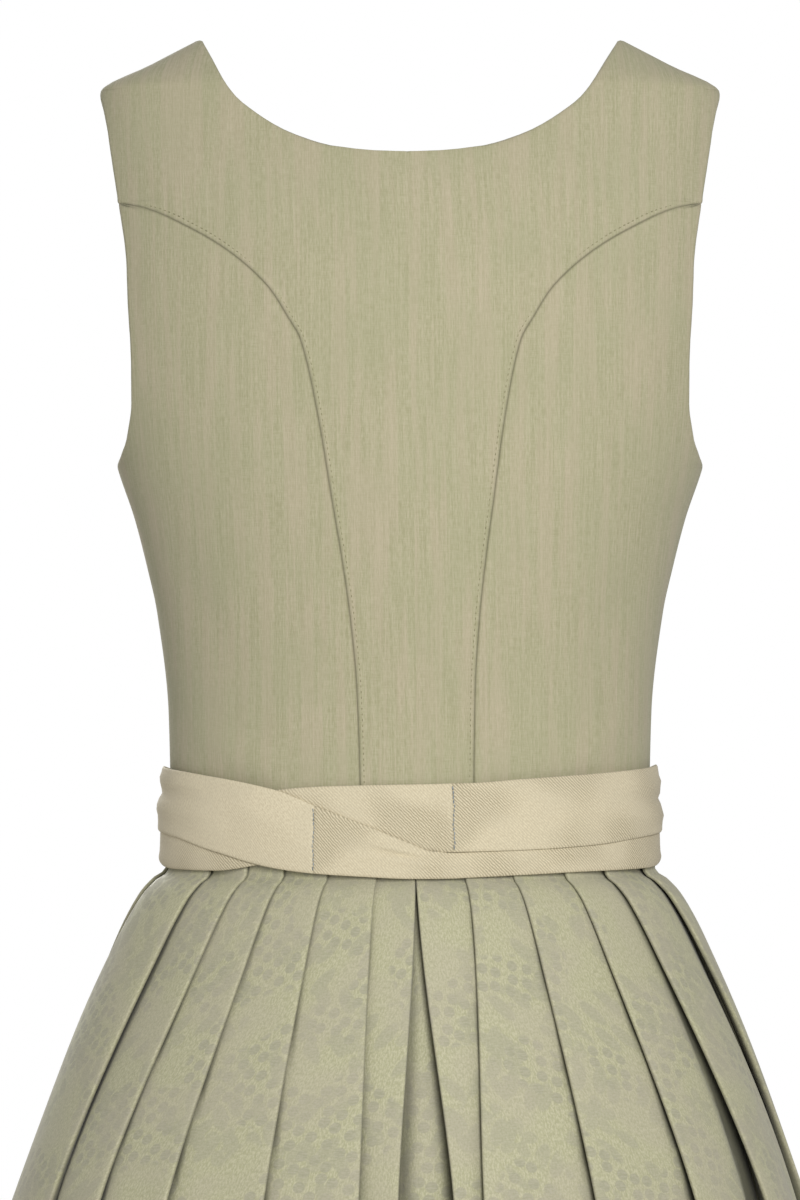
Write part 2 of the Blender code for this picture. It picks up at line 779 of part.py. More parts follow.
def make_bow(twill):
    middle, sideways, outward = bow_frame()
    upright = Vector((0, 0, 1))
    mesh = bmesh.new()
    bmesh.ops.create_cube(mesh, size=1.0)
    bmesh.ops.scale(mesh, verts=mesh.verts, vec=(KNOT_WIDTH * MM, KNOT_DEPTH * MM, KNOT_HEIGHT * MM))
    bmesh.ops.bevel(
        mesh, geom=mesh.edges[:], offset=KNOT_BEVEL * MM, segments=2, affect="EDGES", profile=0.5, material=-1
    )
    knot = add_object("bow_knot", mesh, twill)
    knot.rotation_mode = "QUATERNION"
    knot.rotation_quaternion = outward.to_track_quat("-Y", "Z")
    knot.location = (middle + outward * (KNOT_DEPTH / 2 + SEAM_GAP)) * MM
    for name, sign in (("bow_loop_left", 1), ("bow_loop_right", -1)):
        skins = ([], [])
        line = []
        for i in range(LOOP_STEPS + 1):
            share = i / LOOP_STEPS
            reach = math.sin(math.pi * share) ** 0.8
            along = KNOT_WIDTH / 2 + SEAM_GAP + 0.6 + LOOP_LENGTH * reach
            depth = KNOT_DEPTH / 2 - (LOOP_DEPTH / 2) * math.sin(2 * math.pi * share) * 0.9
            depth += (0.5 - share) * -2.6 + LOOP_DEPTH * 0.28 * reach
            line.append((Vector((along, max(depth, 0.0) + 1.2)), reach))
        flat = [p for p, _ in line]
        for skin, side in zip(skins, (0.5, -0.5)):
            moved = offset_line(flat, side * TIE_THICK)
            for (_, reach), p in zip(line, moved):
                half = LOOP_HEIGHT / 2 * (0.5 + 0.5 * reach)
                drop = LOOP_DROOP * reach
                skin.append([
                    middle + sideways * sign * p.x + outward * p.y + upright * (h * half - drop) for h in (-1, 1)
                ])
        wall(name, [paired(*skins)], twill)
    for name, lean, stand in (("bow_tail_left", 16.0, 3.2), ("bow_tail_right", -10.0, 5.6)):
        rows = []
        top = BOW_Z - KNOT_HEIGHT / 2 - SEAM_GAP
        for i in range(TAIL_STEPS + 1):
            share = i / TAIL_STEPS
            z = top - TAIL_LENGTH * share
            half = TAIL_WIDTH / 2 * (0.45 + 0.55 * smooth_step(0.0, 0.3, share))
            rows.append((z, lean * share * 3.0 + (lean * 0.35), half, stand))
        skins = ([], [])
        for z, shift, half, out in rows:
            size = {key: curve(z) for key, curve in ring.items()}
            waist = 1 - smooth_step(-441.0, -480.0, z)
            clear = size["out"] + 2.2 + 9.0 * smooth_step(-441.0, -700.0, z)
            room = max(band["half_width"](-441.0) + LAYER_STEP + 1.5 - size["half_width"] - clear, 0.0) * waist
            for skin, side in zip(skins, (0.5, -0.5)):
                row = []
                for h in (-1, 0, 1):
                    depth = size["front"]
                    angle = BOW_ANGLE + degrees_for(shift + h * half, BOW_ANGLE, size["half_width"], depth)
                    point = section_point(
                        angle, size["half_width"], size["back"], depth, clear + out + room + side * TIE_THICK
                    )
                    row.append(Vector((point.x, point.y, z)))
                skin.append(row)
        wall(name, [paired(*skins)], twill)


def clear_scene():
    for item in list(bpy.data.objects):
        bpy.data.objects.remove(item)


def main():
    clear_scene()
    linen = cloth_material("bodice_linen", (0.40, 0.375, 0.235), 0.85)
    jacquard = cloth_material("skirt_jacquard", (0.47, 0.45, 0.305), 0.7)
    twill = cloth_material("apron_twill", (0.65, 0.575, 0.40), 0.8)
    horn = cloth_material("button_horn", (0.22, 0.17, 0.10), 0.4)
    make_back(linen)
    make_side_backs(linen)
    make_fronts(linen)
    make_buttons(horn)
    last_back = len(BACK_PLEATS) - 1
    make_skirt("skirt_back", 1, last_back - 1, jacquard)
    make_skirt("skirt_front", last_back + 1, last_back + FRONT_PLEAT_COUNT, jacquard)
    make_apron(twill)
    make_waistband(twill)
    make_ties(twill)
    make_bow(twill)


main()
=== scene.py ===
# %% [markdown]
# # A dirndl dress with its apron
# A dirndl is a fitted bodice sewn to a pleated skirt, with an apron tied over it. The dress is
# filled out as if worn, with nothing inside. The camera looks straight at its back, where the two
# apron ties cross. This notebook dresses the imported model: each cloth piece is a fine sheet bent
# over the same sections as its solid, then given its thickness, seams, stitches and weave.

import math

import bmesh
import bpy
from mathutils import Matrix, Vector, kdtree


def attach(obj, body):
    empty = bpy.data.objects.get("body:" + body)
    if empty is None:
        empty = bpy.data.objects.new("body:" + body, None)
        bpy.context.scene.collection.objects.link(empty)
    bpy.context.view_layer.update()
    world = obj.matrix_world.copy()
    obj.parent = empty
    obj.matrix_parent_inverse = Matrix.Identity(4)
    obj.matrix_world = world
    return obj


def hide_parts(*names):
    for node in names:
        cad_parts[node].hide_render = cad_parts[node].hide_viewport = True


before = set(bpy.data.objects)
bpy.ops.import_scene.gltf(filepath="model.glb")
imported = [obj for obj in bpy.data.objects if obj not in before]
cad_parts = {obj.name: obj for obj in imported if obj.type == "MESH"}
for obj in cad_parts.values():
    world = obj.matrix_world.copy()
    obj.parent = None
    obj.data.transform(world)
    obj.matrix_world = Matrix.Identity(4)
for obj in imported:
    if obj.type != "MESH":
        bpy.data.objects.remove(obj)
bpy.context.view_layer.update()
MM = 0.001

# %% [markdown]
# ## Camera, light and floor
# A garment is shown with a long lens, level with its middle, so that its lines stay straight. The
# light is a white room with one large soft lamp, high on the right of the picture, a weak one low
# on the left, and a second large one for the front. The world gives the camera plain white and the
# cloth a dimmer, even light, so the creases keep their shade.

# %% Camera
VIEW_DISTANCE = 2.7
VIEW_CENTRE = (0.0055, -0.2932)
VIEW_HEIGHT = 0.66
SENSOR = 36.0

lens = bpy.data.cameras.new("camera")
lens.sensor_width = SENSOR
lens.lens = SENSOR * VIEW_DISTANCE / VIEW_HEIGHT
camera = bpy.data.objects.new("camera", lens)
camera.location = (VIEW_CENTRE[0], VIEW_DISTANCE, VIEW_CENTRE[1])
camera.rotation_euler = (math.pi / 2, 0.0, math.pi)
bpy.context.scene.collection.objects.link(camera)
bpy.context.scene.camera = camera
print("lens", round(lens.lens, 1), "mm")

# %% Light
ROOM_LIGHT, ROOM_COLOUR, PAPER = 0.34, (1.0, 0.99, 0.975, 1.0), (1.0, 1.0, 1.0, 1.0)
LAMP_AIM = Vector((0.0, 0.0, -0.45))
LAMPS = (  # name, place, size, power
    ("window", (-0.7, 3.0, 0.5), 1.3, 74.0),
    ("fill", (1.9, 1.9, -0.6), 1.2, 5.0),
    ("front_window", (0.9, -3.0, 0.5), 1.3, 78.0),
)

scene = bpy.context.scene
scene.view_settings.view_transform = "Standard"
world = bpy.data.worlds.new("white_room")
scene.world = world
world.use_nodes = True
room = world.node_tree.nodes
room["Background"].inputs["Color"].default_value = ROOM_COLOUR
room["Background"].inputs["Strength"].default_value = ROOM_LIGHT
paper = room.new("ShaderNodeBackground")
paper.inputs["Color"].default_value = PAPER
seen = room.new("ShaderNodeLightPath")
choose = room.new("ShaderNodeMixShader")
for source, target in (
    (seen.outputs["Is Camera Ray"], choose.inputs["Fac"]),
    (room["Background"].outputs[0], choose.inputs[1]),
    (paper.outputs[0], choose.inputs[2]),
    (choose.outputs[0], room["World Output"].inputs["Surface"]),
):
    world.node_tree.links.new(source, target)
for name, place, size, power in LAMPS:
    lamp = bpy.data.lights.new(name, "AREA")
    lamp.size, lamp.energy = size, power
    lit = bpy.data.objects.new(name, lamp)
    lit.location = place
    lit.rotation_euler = (LAMP_AIM - Vector(place)).to_track_quat("-Z", "Y").to_euler()
    scene.collection.objects.link(lit)
print("lamps", [row[0] for row in LAMPS])

# %% [markdown]
# ## Smooth curves from short tables
# A dressmaker's block gives a few measures, and the cloth runs smoothly between them. Each table
# here has named columns, and each column becomes a smooth function of the first one.

# %% Curve helpers
def smooth_curve(knots, values):
    """A function that runs smoothly through the values and never overshoots them."""
    if knots[0] > knots[-1]:
        knots, values = knots[::-1], values[::-1]
    steps = [(values[i + 1] - values[i]) / (knots[i + 1] - knots[i]) for i in range(len(knots) - 1)]
    inner = [2 * p * q / (p + q) if p * q > 0 else 0.0 for p, q in zip(steps, steps[1:])]
    gradient = [steps[0], *inner, steps[-1]]

    def at(x):
        x = min(max(x, knots[0]), knots[-1])
        i = max(k for k in range(len(knots) - 1) if knots[k] <= x)
        width = knots[i + 1] - knots[i]
        t = (x - knots[i]) / width
        rise = t * t * (3 - 2 * t)
        return (
            values[i] * (1 - rise)
            + values[i + 1] * rise
            + width * gradient[i] * t * (1 - t) ** 2
            - width * gradient[i + 1] * t * t * (1 - t)
        )

    return at


def smooth_table(names, rows):
    """One smooth function of the first column for each other column."""
    knots = [row[0] for row in rows]
    columns = zip(names[1:], list(zip(*rows))[1:])
    return {name: smooth_curve(knots, column) for name, column in columns}


def measures(table, at):
    """Each column of a smooth table at one place."""
    return {name: curve(at) for name, curve in table.items()}


def running_lengths(places):
    """The length up to each of the places, along the line through them."""
    lengths = [0.0]
    for near, far in zip(places, places[1:]):
        lengths.append(lengths[-1] + math.dist(near, far))
    return lengths


def smooth_step(low, high, x):
    t = min(max((x - low) / (high - low), 0.0), 1.0)
    return t * t * (3 - 2 * t)


def mix(p, q, t):
    return tuple(a + (b - a) * t for a, b in zip(p, q))


CLOSEST_LEVELS = 0.04


def levels_between(low, high, step, near=(), fine=(0.0, 0.3, 0.8, 1.5, 2.4)):
    """Heights from low to high, a step apart, and closer on both sides of each height in near."""
    count = math.ceil((high - low) / step)
    found = {round(low + (high - low) * i / count, 3) for i in range(count + 1)}
    found |= {round(z + sign * gap, 3) for z in near for gap in fine for sign in (-1, 1)}
    found = sorted(z for z in found if low <= z <= high)
    return [z for z, after in zip(found, found[1:] + [high + 1.0]) if after - z > CLOSEST_LEVELS]


# %% [markdown]
# ## The figure's sections
# The bodice is shaped by level ovals, one a row, with the fullness that the front seams give. A
# place on it is an angle and a height: 0 degrees is the wearer's left, 90 the middle of the back.

# %% Figure
SHOULDER_NECK_Z = 14.5
SHOULDER_TIP_Z = -14.3
SHOULDER_TOP_Z = 13.0
BACK_NECK_Z = -54.0
FRONT_NECK_Z = -165.0
UNDERARM_Z = -220.0
WAIST_Z = -417.0
FIGURE_COLUMNS = ("z", "half_width", "back", "front")
FIGURE = (
    (SHOULDER_NECK_Z, 115.0, 38.0, 36.0),
    (0.0, 142.7, 50.0, 46.0),
    (SHOULDER_TIP_Z, 169.5, 60.0, 54.0),
    (-32.0, 172.5, 70.0, 61.0),
    (-80.0, 175.5, 91.0, 76.0),
    (-130.0, 175.5, 101.5, 91.0),
    (-175.0, 170.5, 105.0, 102.0),
    (UNDERARM_Z, 160.2, 106.0, 109.0),
    (-248.0, 150.8, 105.0, 112.0),
    (-275.0, 143.8, 102.0, 111.0),
    (-300.0, 138.3, 99.0, 108.0),
    (-355.0, 132.0, 90.5, 98.5),
    (WAIST_Z, 130.6, 86.0, 93.0),
)
BUST_OUT, BUST_X, BUST_Z = 23.0, 80.0, -247.0
BUST_SPREAD_X, BUST_SPREAD_Z = 46.0, 48.0
figure = smooth_table(FIGURE_COLUMNS, FIGURE)


def figure_point(angle, z):
    """The place on the figure at an angle in degrees and a height, in millimetres."""
    turn = math.radians(angle)
    x = figure["half_width"](z) * math.cos(turn)
    if math.sin(turn) >= 0:
        return Vector((x, figure["back"](z) * math.sin(turn), z))
    across = (abs(x) - BUST_X) / BUST_SPREAD_X
    along = (z - BUST_Z) / BUST_SPREAD_Z
    depth = figure["front"](z) + BUST_OUT * math.exp(-across * across - along * along)
    return Vector((x, depth * math.sin(turn), z))


def figure_normal(angle, z):
    across = figure_point(angle + 0.5, z) - figure_point(angle - 0.5, z)
    low, high = max(z - 1.0, WAIST_Z), min(z + 1.0, SHOULDER_NECK_Z)
    return across.cross(figure_point(angle, high) - figure_point(angle, low)).normalized()


def degrees_for(length, angle, half_width, depth):
    """The turn that carries a point that far round an oval."""
    turn = math.radians(angle)
    return math.degrees(length / math.hypot(half_width * math.sin(turn), depth * math.cos(turn)))


def angle_at(x, z):
    """The angle, on the back's left half, at a half width and a height."""
    return math.degrees(math.acos(min(x / figure["half_width"](z), 1.0)))


print("bust row", [round(c, 1) for c in figure_point(-60.0, BUST_Z)])

# %% [markdown]
# ## Seam lines and open edges
# Two long princess seams shape the back and two the front. They run from the waist, spread under
# the shoulder blades and end in the armholes. All lines are half widths from the middle.

# %% Seams, necklines and armholes
ARMHOLE_COLUMNS = ("z", "back", "front")
ARMHOLE = (
    (UNDERARM_Z, 0.0, 0.0), (-217.0, 18.0, -20.0), (-206.0, 36.5, -38.0), (-185.0, 47.5, -52.0),
    (-150.0, 51.3, -58.0), (-115.0, 48.6, -54.0), (-80.0, 40.0, -46.0), (-48.0, 27.0, -33.0),
    (-24.0, 13.5, -17.0), (SHOULDER_TIP_Z, 0.0, 0.0),
)
BACK_PRINCESS = (
    (WAIST_Z, 30.0), (-390.0, 30.3), (-341.0, 31.4), (-303.5, 34.2), (-272.0, 38.0), (-240.0, 42.8),
    (-197.5, 49.2), (-155.0, 58.4), (-142.5, 65.4), (-128.5, 74.1), (-118.0, 83.8), (-108.5, 95.0),
    (-100.0, 107.3), (-92.0, 121.4), (-84.5, 136.0), (-80.0, 149.0), (-78.5, 158.0),
)
FRONT_PRINCESS = (
    (WAIST_Z, 50.0), (-350.0, 57.0), (-290.0, 71.0), (-245.0, 82.0),
    (-205.0, 92.0), (-165.0, 106.0), (-134.0, 122.0), (-115.0, 138.0),
)
BACK_NECKLINE = (
    (BACK_NECK_Z, 0.0), (-53.4, 20.0), (-50.5, 40.5), (-46.0, 55.3), (-40.0, 68.7),
    (-31.0, 82.4), (-22.5, 92.6), (SHOULDER_TIP_Z, 98.9), (0.0, 106.9), (SHOULDER_NECK_Z, 115.0),
)
FRONT_NECKLINE = (
    (FRONT_NECK_Z, 0.0), (-163.5, 25.0), (-158.0, 46.0), (-148.0, 63.0), (-134.0, 75.0),
    (-110.0, 85.0), (-80.0, 92.0), (-50.0, 97.0), (SHOULDER_TIP_Z, 104.5), (0.0, 109.0),
    (SHOULDER_NECK_Z, 115.0),
)
BACK_SEAM_TOP_Z = BACK_PRINCESS[-1][0]
FRONT_SEAM_TOP_Z = FRONT_PRINCESS[-1][0]
BACK_SEAM_DRIFT, SEAM_DRIFT_FROM_Z = 3.9, -120.0
BACK_NECK_DRIFT, NECK_DRIFT_FROM_Z, NECK_DRIFT_TO_Z = 1.7, -100.0, -55.0
SEAM_INSET = 0.16
OVERLAP_HALF, OVERLAP_OUT, OVERLAP_RAMP = 9.0, 1.2, (14.0, 32.0)
armhole = smooth_table(ARMHOLE_COLUMNS, ARMHOLE)
back_princess, front_princess, back_neckline, front_neckline = (
    smooth_curve(*zip(*line))
    for line in (BACK_PRINCESS, FRONT_PRINCESS, BACK_NECKLINE, FRONT_NECKLINE)
)


def arm_angle(z, side):
    """The armhole's edge, or the side and shoulder seams below and above it."""
    if not UNDERARM_Z < z < SHOULDER_TIP_Z:
        return 0.0
    return math.degrees(math.asin(armhole[side](z) / figure[side](z)))


def back_seam_angle(z):
    return angle_at(back_princess(z), z)


def front_seam_angle(z):
    return -angle_at(front_princess(z), z)


def leaning(angle, z):
    """The back leans a little to the right side towards the waist, and to the left at the neck."""
    if math.sin(math.radians(angle)) <= 0:
        return angle
    right = BACK_SEAM_DRIFT * smooth_step(SEAM_DRIFT_FROM_Z, WAIST_Z, z)
    left = BACK_NECK_DRIFT * smooth_step(NECK_DRIFT_FROM_Z, NECK_DRIFT_TO_Z, z)
    share = math.sin(math.radians(angle)) ** 2
    return angle + math.degrees((right - left) * share / figure["half_width"](z))


print("back seam at the waist", round(back_seam_angle(WAIST_Z), 1), "degrees")

# %% [markdown]
# ## One way to make every cloth piece
# Cloth could be simulated, but pressed pleats and a fitted bodice are held by their seams, so their
# shapes are given. A flat grid is made with one operator, each of its points is moved to its place
# on the garment, and Solidify gives the cloth its thickness. The weave's own coordinates are laid
# on the grid in metres, so threads run along the cloth, also round a bend.

# %% Cloth helper
JOIN_GAP = 0.004


def cloth(name, grids, thick, material, outward):
    """A sheet from grids of (place, (across, along), shade) rows, in millimetres.

    The grids are joined where they meet. The shade, left out where none is painted, goes into the
    fold attribute, from which the linen and the jacquard paint shade: 1 deep inside a fold or on a
    seam.
    """
    mesh = bmesh.new()
    weave = mesh.loops.layers.uv.new("weave")
    # The fold attribute holds how much shade the material paints at each point.
    fold = mesh.verts.layers.float.new("fold")
    for rows in grids:
        across, along = len(rows[0]) - 1, len(rows) - 1
        made = bmesh.ops.create_grid(mesh, x_segments=across, y_segments=along, size=1.0)
        laid = dict(zip(made["verts"], (spot for row in rows for spot in row)))
        for vertex, (place, _, *depth) in laid.items():
            vertex.co = place * MM
            vertex[fold] = sum(depth)
        faces = list({face for vertex in laid for face in vertex.link_faces})
        for face in faces:
            face.normal_update()
            for loop in face.loops:
                loop[weave].uv = Vector(laid[loop.vert][1]) * MM
        facing = (face.normal.dot(outward(face.calc_center_median())) for face in faces)
        if sum(share * face.calc_area() for share, face in zip(facing, faces)) < 0:
            bmesh.ops.reverse_faces(mesh, faces=faces)
    bmesh.ops.remove_doubles(mesh, verts=mesh.verts, dist=JOIN_GAP * MM)
    piece = finished(name, mesh, material)
    shell = piece.modifiers.new("thickness", "SOLIDIFY")
    shell.thickness, shell.offset = thick * MM, 0.0
    flat_area = sum(face.area for face in piece.data.polygons)
    print(name, len(piece.data.polygons), "faces", round(flat_area, 4), "m2")
    return piece


def finished(name, mesh, material):
    """The bmesh as a smooth object at the origin."""
    data = bpy.data.meshes.new(name)
    mesh.to_mesh(data)
    mesh.free()
    data.shade_smooth()
    data.materials.append(material)
    piece = bpy.data.objects.new(name, data)
    scene.collection.objects.link(piece)
    return piece


def from_axis(place):
    """Away from the wearer's middle."""
    return Vector((place.x, place.y, 0.0)).normalized()


# %% [markdown]
# ## Weaves as node groups
# All three cloths are yarn, so they share three effects: streaks along the threads, the diagonal
# rib of a twill, and a fine grain. Each is a group that reads the weave's coordinates and puts out
# a value, and each finish mixes them with its own sizes.

# %% Node helpers
def add(tree, kind, **settings):
    made = tree.nodes.new(kind)
    for key, value in settings.items():
        setattr(made, key, value)
    return made


def feed(tree, node, values):
    """Fill a node's inputs by name: a plain value is set, an output socket is linked."""
    for key, value in values.items():
        socket = node.inputs[key]
        if isinstance(value, bpy.types.NodeSocket):
            tree.links.new(value, socket)
        else:
            socket.default_value = value
    return node


def maths(tree, operation, first, second=0.0, third=0.0):
    made = add(tree, "ShaderNodeMath", operation=operation)
    return feed(tree, made, {0: first, 1: second, 2: third}).outputs[0]


def vector_maths(tree, operation, first, second):
    made = add(tree, "ShaderNodeVectorMath", operation=operation)
    return feed(tree, made, {0: first, 1: second}).outputs[0]


def flat_noise(tree, place, scale, detail, roughness=0.5):
    made = add(tree, "ShaderNodeTexNoise", noise_dimensions="2D")
    values = {"Vector": place, "Scale": scale, "Detail": detail, "Roughness": roughness}
    return feed(tree, made, values).outputs["Fac"]


def ramp(tree, value, low, high, from_value=0.0, to_value=1.0):
    made = add(tree, "ShaderNodeMapRange", interpolation_type="SMOOTHSTEP")
    names = ("Value", "From Min", "From Max", "To Min", "To Max")
    feed(tree, made, dict(zip(names, (value, low, high, from_value, to_value))))
    return made.outputs["Result"]


def blend_colour(tree, share, first, second):
    made = add(tree, "ShaderNodeMix", data_type="RGBA")
    feed(tree, made, {"Factor": share})
    for index, colour in ((6, first), (7, second)):
        if isinstance(colour, bpy.types.NodeSocket):
            tree.links.new(colour, made.inputs[index])
        else:
            made.inputs[index].default_value = (*colour, 1.0)
    return made.outputs[2]


def new_group(name, inputs, outputs):
    group = bpy.data.node_groups.new(name, "ShaderNodeTree")
    for label, kind, value in inputs:
        socket = group.interface.new_socket(label, in_out="INPUT", socket_type=kind)
        if value is not None:
            socket.default_value = value
    for label in outputs:
        group.interface.new_socket(label, in_out="OUTPUT", socket_type="NodeSocketFloat")
    return group, add(group, "NodeGroupInput"), add(group, "NodeGroupOutput")


# %% Yarn streaks, twill rib and grain
def make_streaks():
    group, given, out = new_group("yarn_streaks", (
        ("Place", "NodeSocketVector", None),
        ("Across", "NodeSocketFloat", 900.0),
        ("Along", "NodeSocketFloat", 40.0),
    ), ("Streak",))
    size = add(group, "ShaderNodeCombineXYZ")
    feed(group, size, {"X": given.outputs["Across"], "Y": given.outputs["Along"], "Z": 1.0})
    scaled = vector_maths(group, "MULTIPLY", given.outputs["Place"], size.outputs[0])
    group.links.new(flat_noise(group, scaled, 1.0, 2.0, 0.55), out.inputs["Streak"])
    return group


def make_twill_rib():
    group, given, out = new_group("twill_rib", (
        ("Place", "NodeSocketVector", None),
        ("Ribs per metre", "NodeSocketFloat", 640.0),
        ("Lean", "NodeSocketFloat", 1.0),
    ), ("Rib",))
    parts = add(group, "ShaderNodeSeparateXYZ")
    group.links.new(given.outputs["Place"], parts.inputs[0])
    slide = maths(group, "MULTIPLY", parts.outputs["X"], given.outputs["Lean"])
    slant = maths(group, "ADD", slide, parts.outputs["Y"])
    turns = maths(group, "MULTIPLY", slant, given.outputs["Ribs per metre"])
    wobble = flat_noise(group, given.outputs["Place"], 420.0, 1.0)
    turns = maths(group, "MULTIPLY_ADD", wobble, 0.55, turns)
    wave = maths(group, "SINE", maths(group, "MULTIPLY", turns, 2 * math.pi))
    group.links.new(maths(group, "MULTIPLY_ADD", wave, 0.5, 0.5), out.inputs["Rib"])
    return group


def make_grain():
    group, given, out = new_group("yarn_grain", (
        ("Place", "NodeSocketVector", None),
        ("Size", "NodeSocketFloat", 1400.0),
    ), ("Grain",))
    noise = flat_noise(group, given.outputs["Place"], given.outputs["Size"], 1.0)
    group.links.new(noise, out.inputs["Grain"])
    return group


STREAKS, TWILL_RIB, GRAIN = make_streaks(), make_twill_rib(), make_grain()


def use(tree, group, **values):
    made = add(tree, "ShaderNodeGroup", node_tree=group)
    values = {key.replace("_", " "): value for key, value in values.items()}
    return feed(tree, made, values).outputs[0]


def streaks(tree, place, across, along):
    return use(tree, STREAKS, Place=place, Across=across, Along=along)


def grains(tree, place, size):
    return use(tree, GRAIN, Place=place, Size=size)


def tinted(tree, colour, layers):
    """The colour with each layer laid over it in turn, as much as its value calls for."""
    for value, low, high, share, tint in layers:
        colour = blend_colour(tree, ramp(tree, value, low, high, 0.0, share), colour, tint)
    return colour


# Paints shade into the colour: the fold attribute blends it towards a near-black tint.
def paint_fold_shade(tree, colour, share, tint):
    inside = add(tree, "ShaderNodeAttribute", attribute_name="fold").outputs["Fac"]
    return blend_colour(tree, maths(tree, "MULTIPLY", inside, share), colour, tint)


def start_material(name, roughness, sheen):
    """A material, its node tree, its shader and the weave's coordinates."""
    material = bpy.data.materials.new(name)
    material.use_nodes = True
    tree = material.node_tree
    shader = tree.nodes["Principled BSDF"]
    shader.inputs["Roughness"].default_value = roughness
    shader.inputs["Specular IOR Level"].default_value = 0.25
    shader.inputs["Sheen Weight"].default_value = sheen
    shader.inputs["Sheen Roughness"].default_value = 0.6
    place = add(tree, "ShaderNodeUVMap", uv_map="weave").outputs["UV"]
    return material, tree, shader, place


def raise_threads(tree, shader, height, strength, distance):
    bump = add(tree, "ShaderNodeBump")
    feed(tree, bump, {"Strength": strength, "Distance": distance, "Height": height})
    tree.links.new(bump.outputs["Normal"], shader.inputs["Normal"])


print("groups", STREAKS.name, TWILL_RIB.name, GRAIN.name)

# %% [markdown]
# ## The bodice's linen
# The bodice is a melange linen: sage green with uneven yarns, so fine upright streaks of lighter
# and darker green, a few of them faintly pink, show all over. Five layers of streaks of different
# widths give that, and a slow cloud keeps large areas from looking printed.

# %% Linen
def make_linen():
    material, tree, shader, place = start_material("melange_linen", 0.88, 0.12)
    fine, yarn, weft, slub, band_tone = (
        streaks(tree, place, across, along)
        for across, along in (
            (2100.0, 220.0), (900.0, 22.0), (160.0, 2100.0), (700.0, 16.0), (130.0, 9.0)
        )
    )
    tone = maths(tree, "MULTIPLY_ADD", fine, 0.6, maths(tree, "MULTIPLY", yarn, 0.4))
    tone = ramp(tree, maths(tree, "MULTIPLY_ADD", weft, 0.30, tone), 0.40, 0.90)
    colour = tinted(tree, blend_colour(tree, tone, (0.346, 0.330, 0.196), (0.470, 0.440, 0.296)), (
        (slub, 0.62, 0.80, 0.24, (0.56, 0.52, 0.37)),
        (yarn, 0.56, 0.74, 0.16, (0.50, 0.405, 0.30)),
        (band_tone, 0.42, 0.66, 0.30, (0.515, 0.425, 0.32)),
        (grains(tree, place, 22.0), 0.35, 0.70, 0.20, (0.36, 0.365, 0.22)),
    ))
    # Painted shade: near-black over the colour where the fold attribute is set, here along the
    # seams.
    colour = paint_fold_shade(tree, colour, 0.92, (0.08, 0.075, 0.04))
    tree.links.new(colour, shader.inputs["Base Color"])
    height = maths(tree, "ADD", fine, maths(tree, "MULTIPLY", slub, 0.8))
    raise_threads(tree, shader, height, 0.35, 0.0003)
    return material


LINEN = make_linen()
print(LINEN.name, len(LINEN.node_tree.nodes), "nodes")

# %% [markdown]
# ## The skirt's figured cloth
# The skirt is a tonal jacquard. Its figure is a scatter of berries, leaves and small flowers, a
# little greyer than the ground. Each motif is one cell of a Voronoi pattern, cut out by its own
# formula, and a slow noise says where each kind grows, so they come in loose clusters.

# %% Motifs
def make_motifs():
    inputs = (("Place", "NodeSocketVector", None),)
    group, given, out = new_group("tonal_motifs", inputs, ("Motif",))

    def cells(size_x, size_y, turn, shift, scatter):
        placed = add(group, "ShaderNodeMapping")
        feed(group, placed, {
            "Vector": given.outputs["Place"], "Location": (shift, shift * 0.7, 0.0),
            "Rotation": (0.0, 0.0, math.radians(turn)),
        })
        spot = vector_maths(group, "MULTIPLY", placed.outputs[0], (1 / size_x, 1 / size_y, 1.0))
        made = add(group, "ShaderNodeTexVoronoi", voronoi_dimensions="2D")
        feed(group, made, {"Vector": spot, "Scale": 1.0, "Randomness": scatter})
        return made.outputs, spot

    def patch(size, low, high, shift):
        moved = vector_maths(group, "ADD", given.outputs["Place"], (shift, -shift, 0.0))
        return ramp(group, flat_noise(group, moved, 1 / size, 0.0), low, high)

    berry, _ = cells(0.0085, 0.0085, 20.0, 0.0, 0.35)
    berries = ramp(group, berry["Distance"], 0.30, 0.40, 1.0, 0.0)
    berries = maths(group, "MULTIPLY", berries, patch(0.048, 0.47, 0.53, 0.0))
    shapes = maths(group, "MULTIPLY", berries, 1.25)
    for turn, shift, patch_shift in ((32.0, 0.11, 0.31), (-38.0, 0.23, 0.57)):
        leaf, _ = cells(0.012, 0.027, turn, shift, 0.7)
        leaves = ramp(group, leaf["Distance"], 0.27, 0.36, 0.75, 0.0)
        leaves = maths(group, "MULTIPLY", leaves, patch(0.050, 0.52, 0.58, patch_shift))
        shapes = maths(group, "MAXIMUM", shapes, leaves)
    flower, spot = cells(0.050, 0.050, 0.0, 0.41, 0.55)
    parts = add(group, "ShaderNodeSeparateXYZ")
    group.links.new(vector_maths(group, "SUBTRACT", spot, flower["Position"]), parts.inputs[0])
    around = maths(group, "ARCTAN2", parts.outputs["Y"], parts.outputs["X"])
    petals = maths(group, "ABSOLUTE", maths(group, "COSINE", maths(group, "MULTIPLY", around, 2.5)))
    reach = maths(group, "MULTIPLY_ADD", petals, 0.13, 0.10)
    edge = maths(group, "SUBTRACT", reach, flower["Distance"])
    heart = ramp(group, flower["Distance"], 0.045, 0.06)
    blossom = maths(group, "MULTIPLY", ramp(group, edge, -0.01, 0.02), heart)
    shapes = maths(group, "MAXIMUM", shapes, maths(group, "MULTIPLY", blossom, 0.6))
    group.links.new(shapes, out.inputs["Motif"])
    return group


MOTIFS = make_motifs()
print(MOTIFS.name, len(MOTIFS.nodes), "nodes")


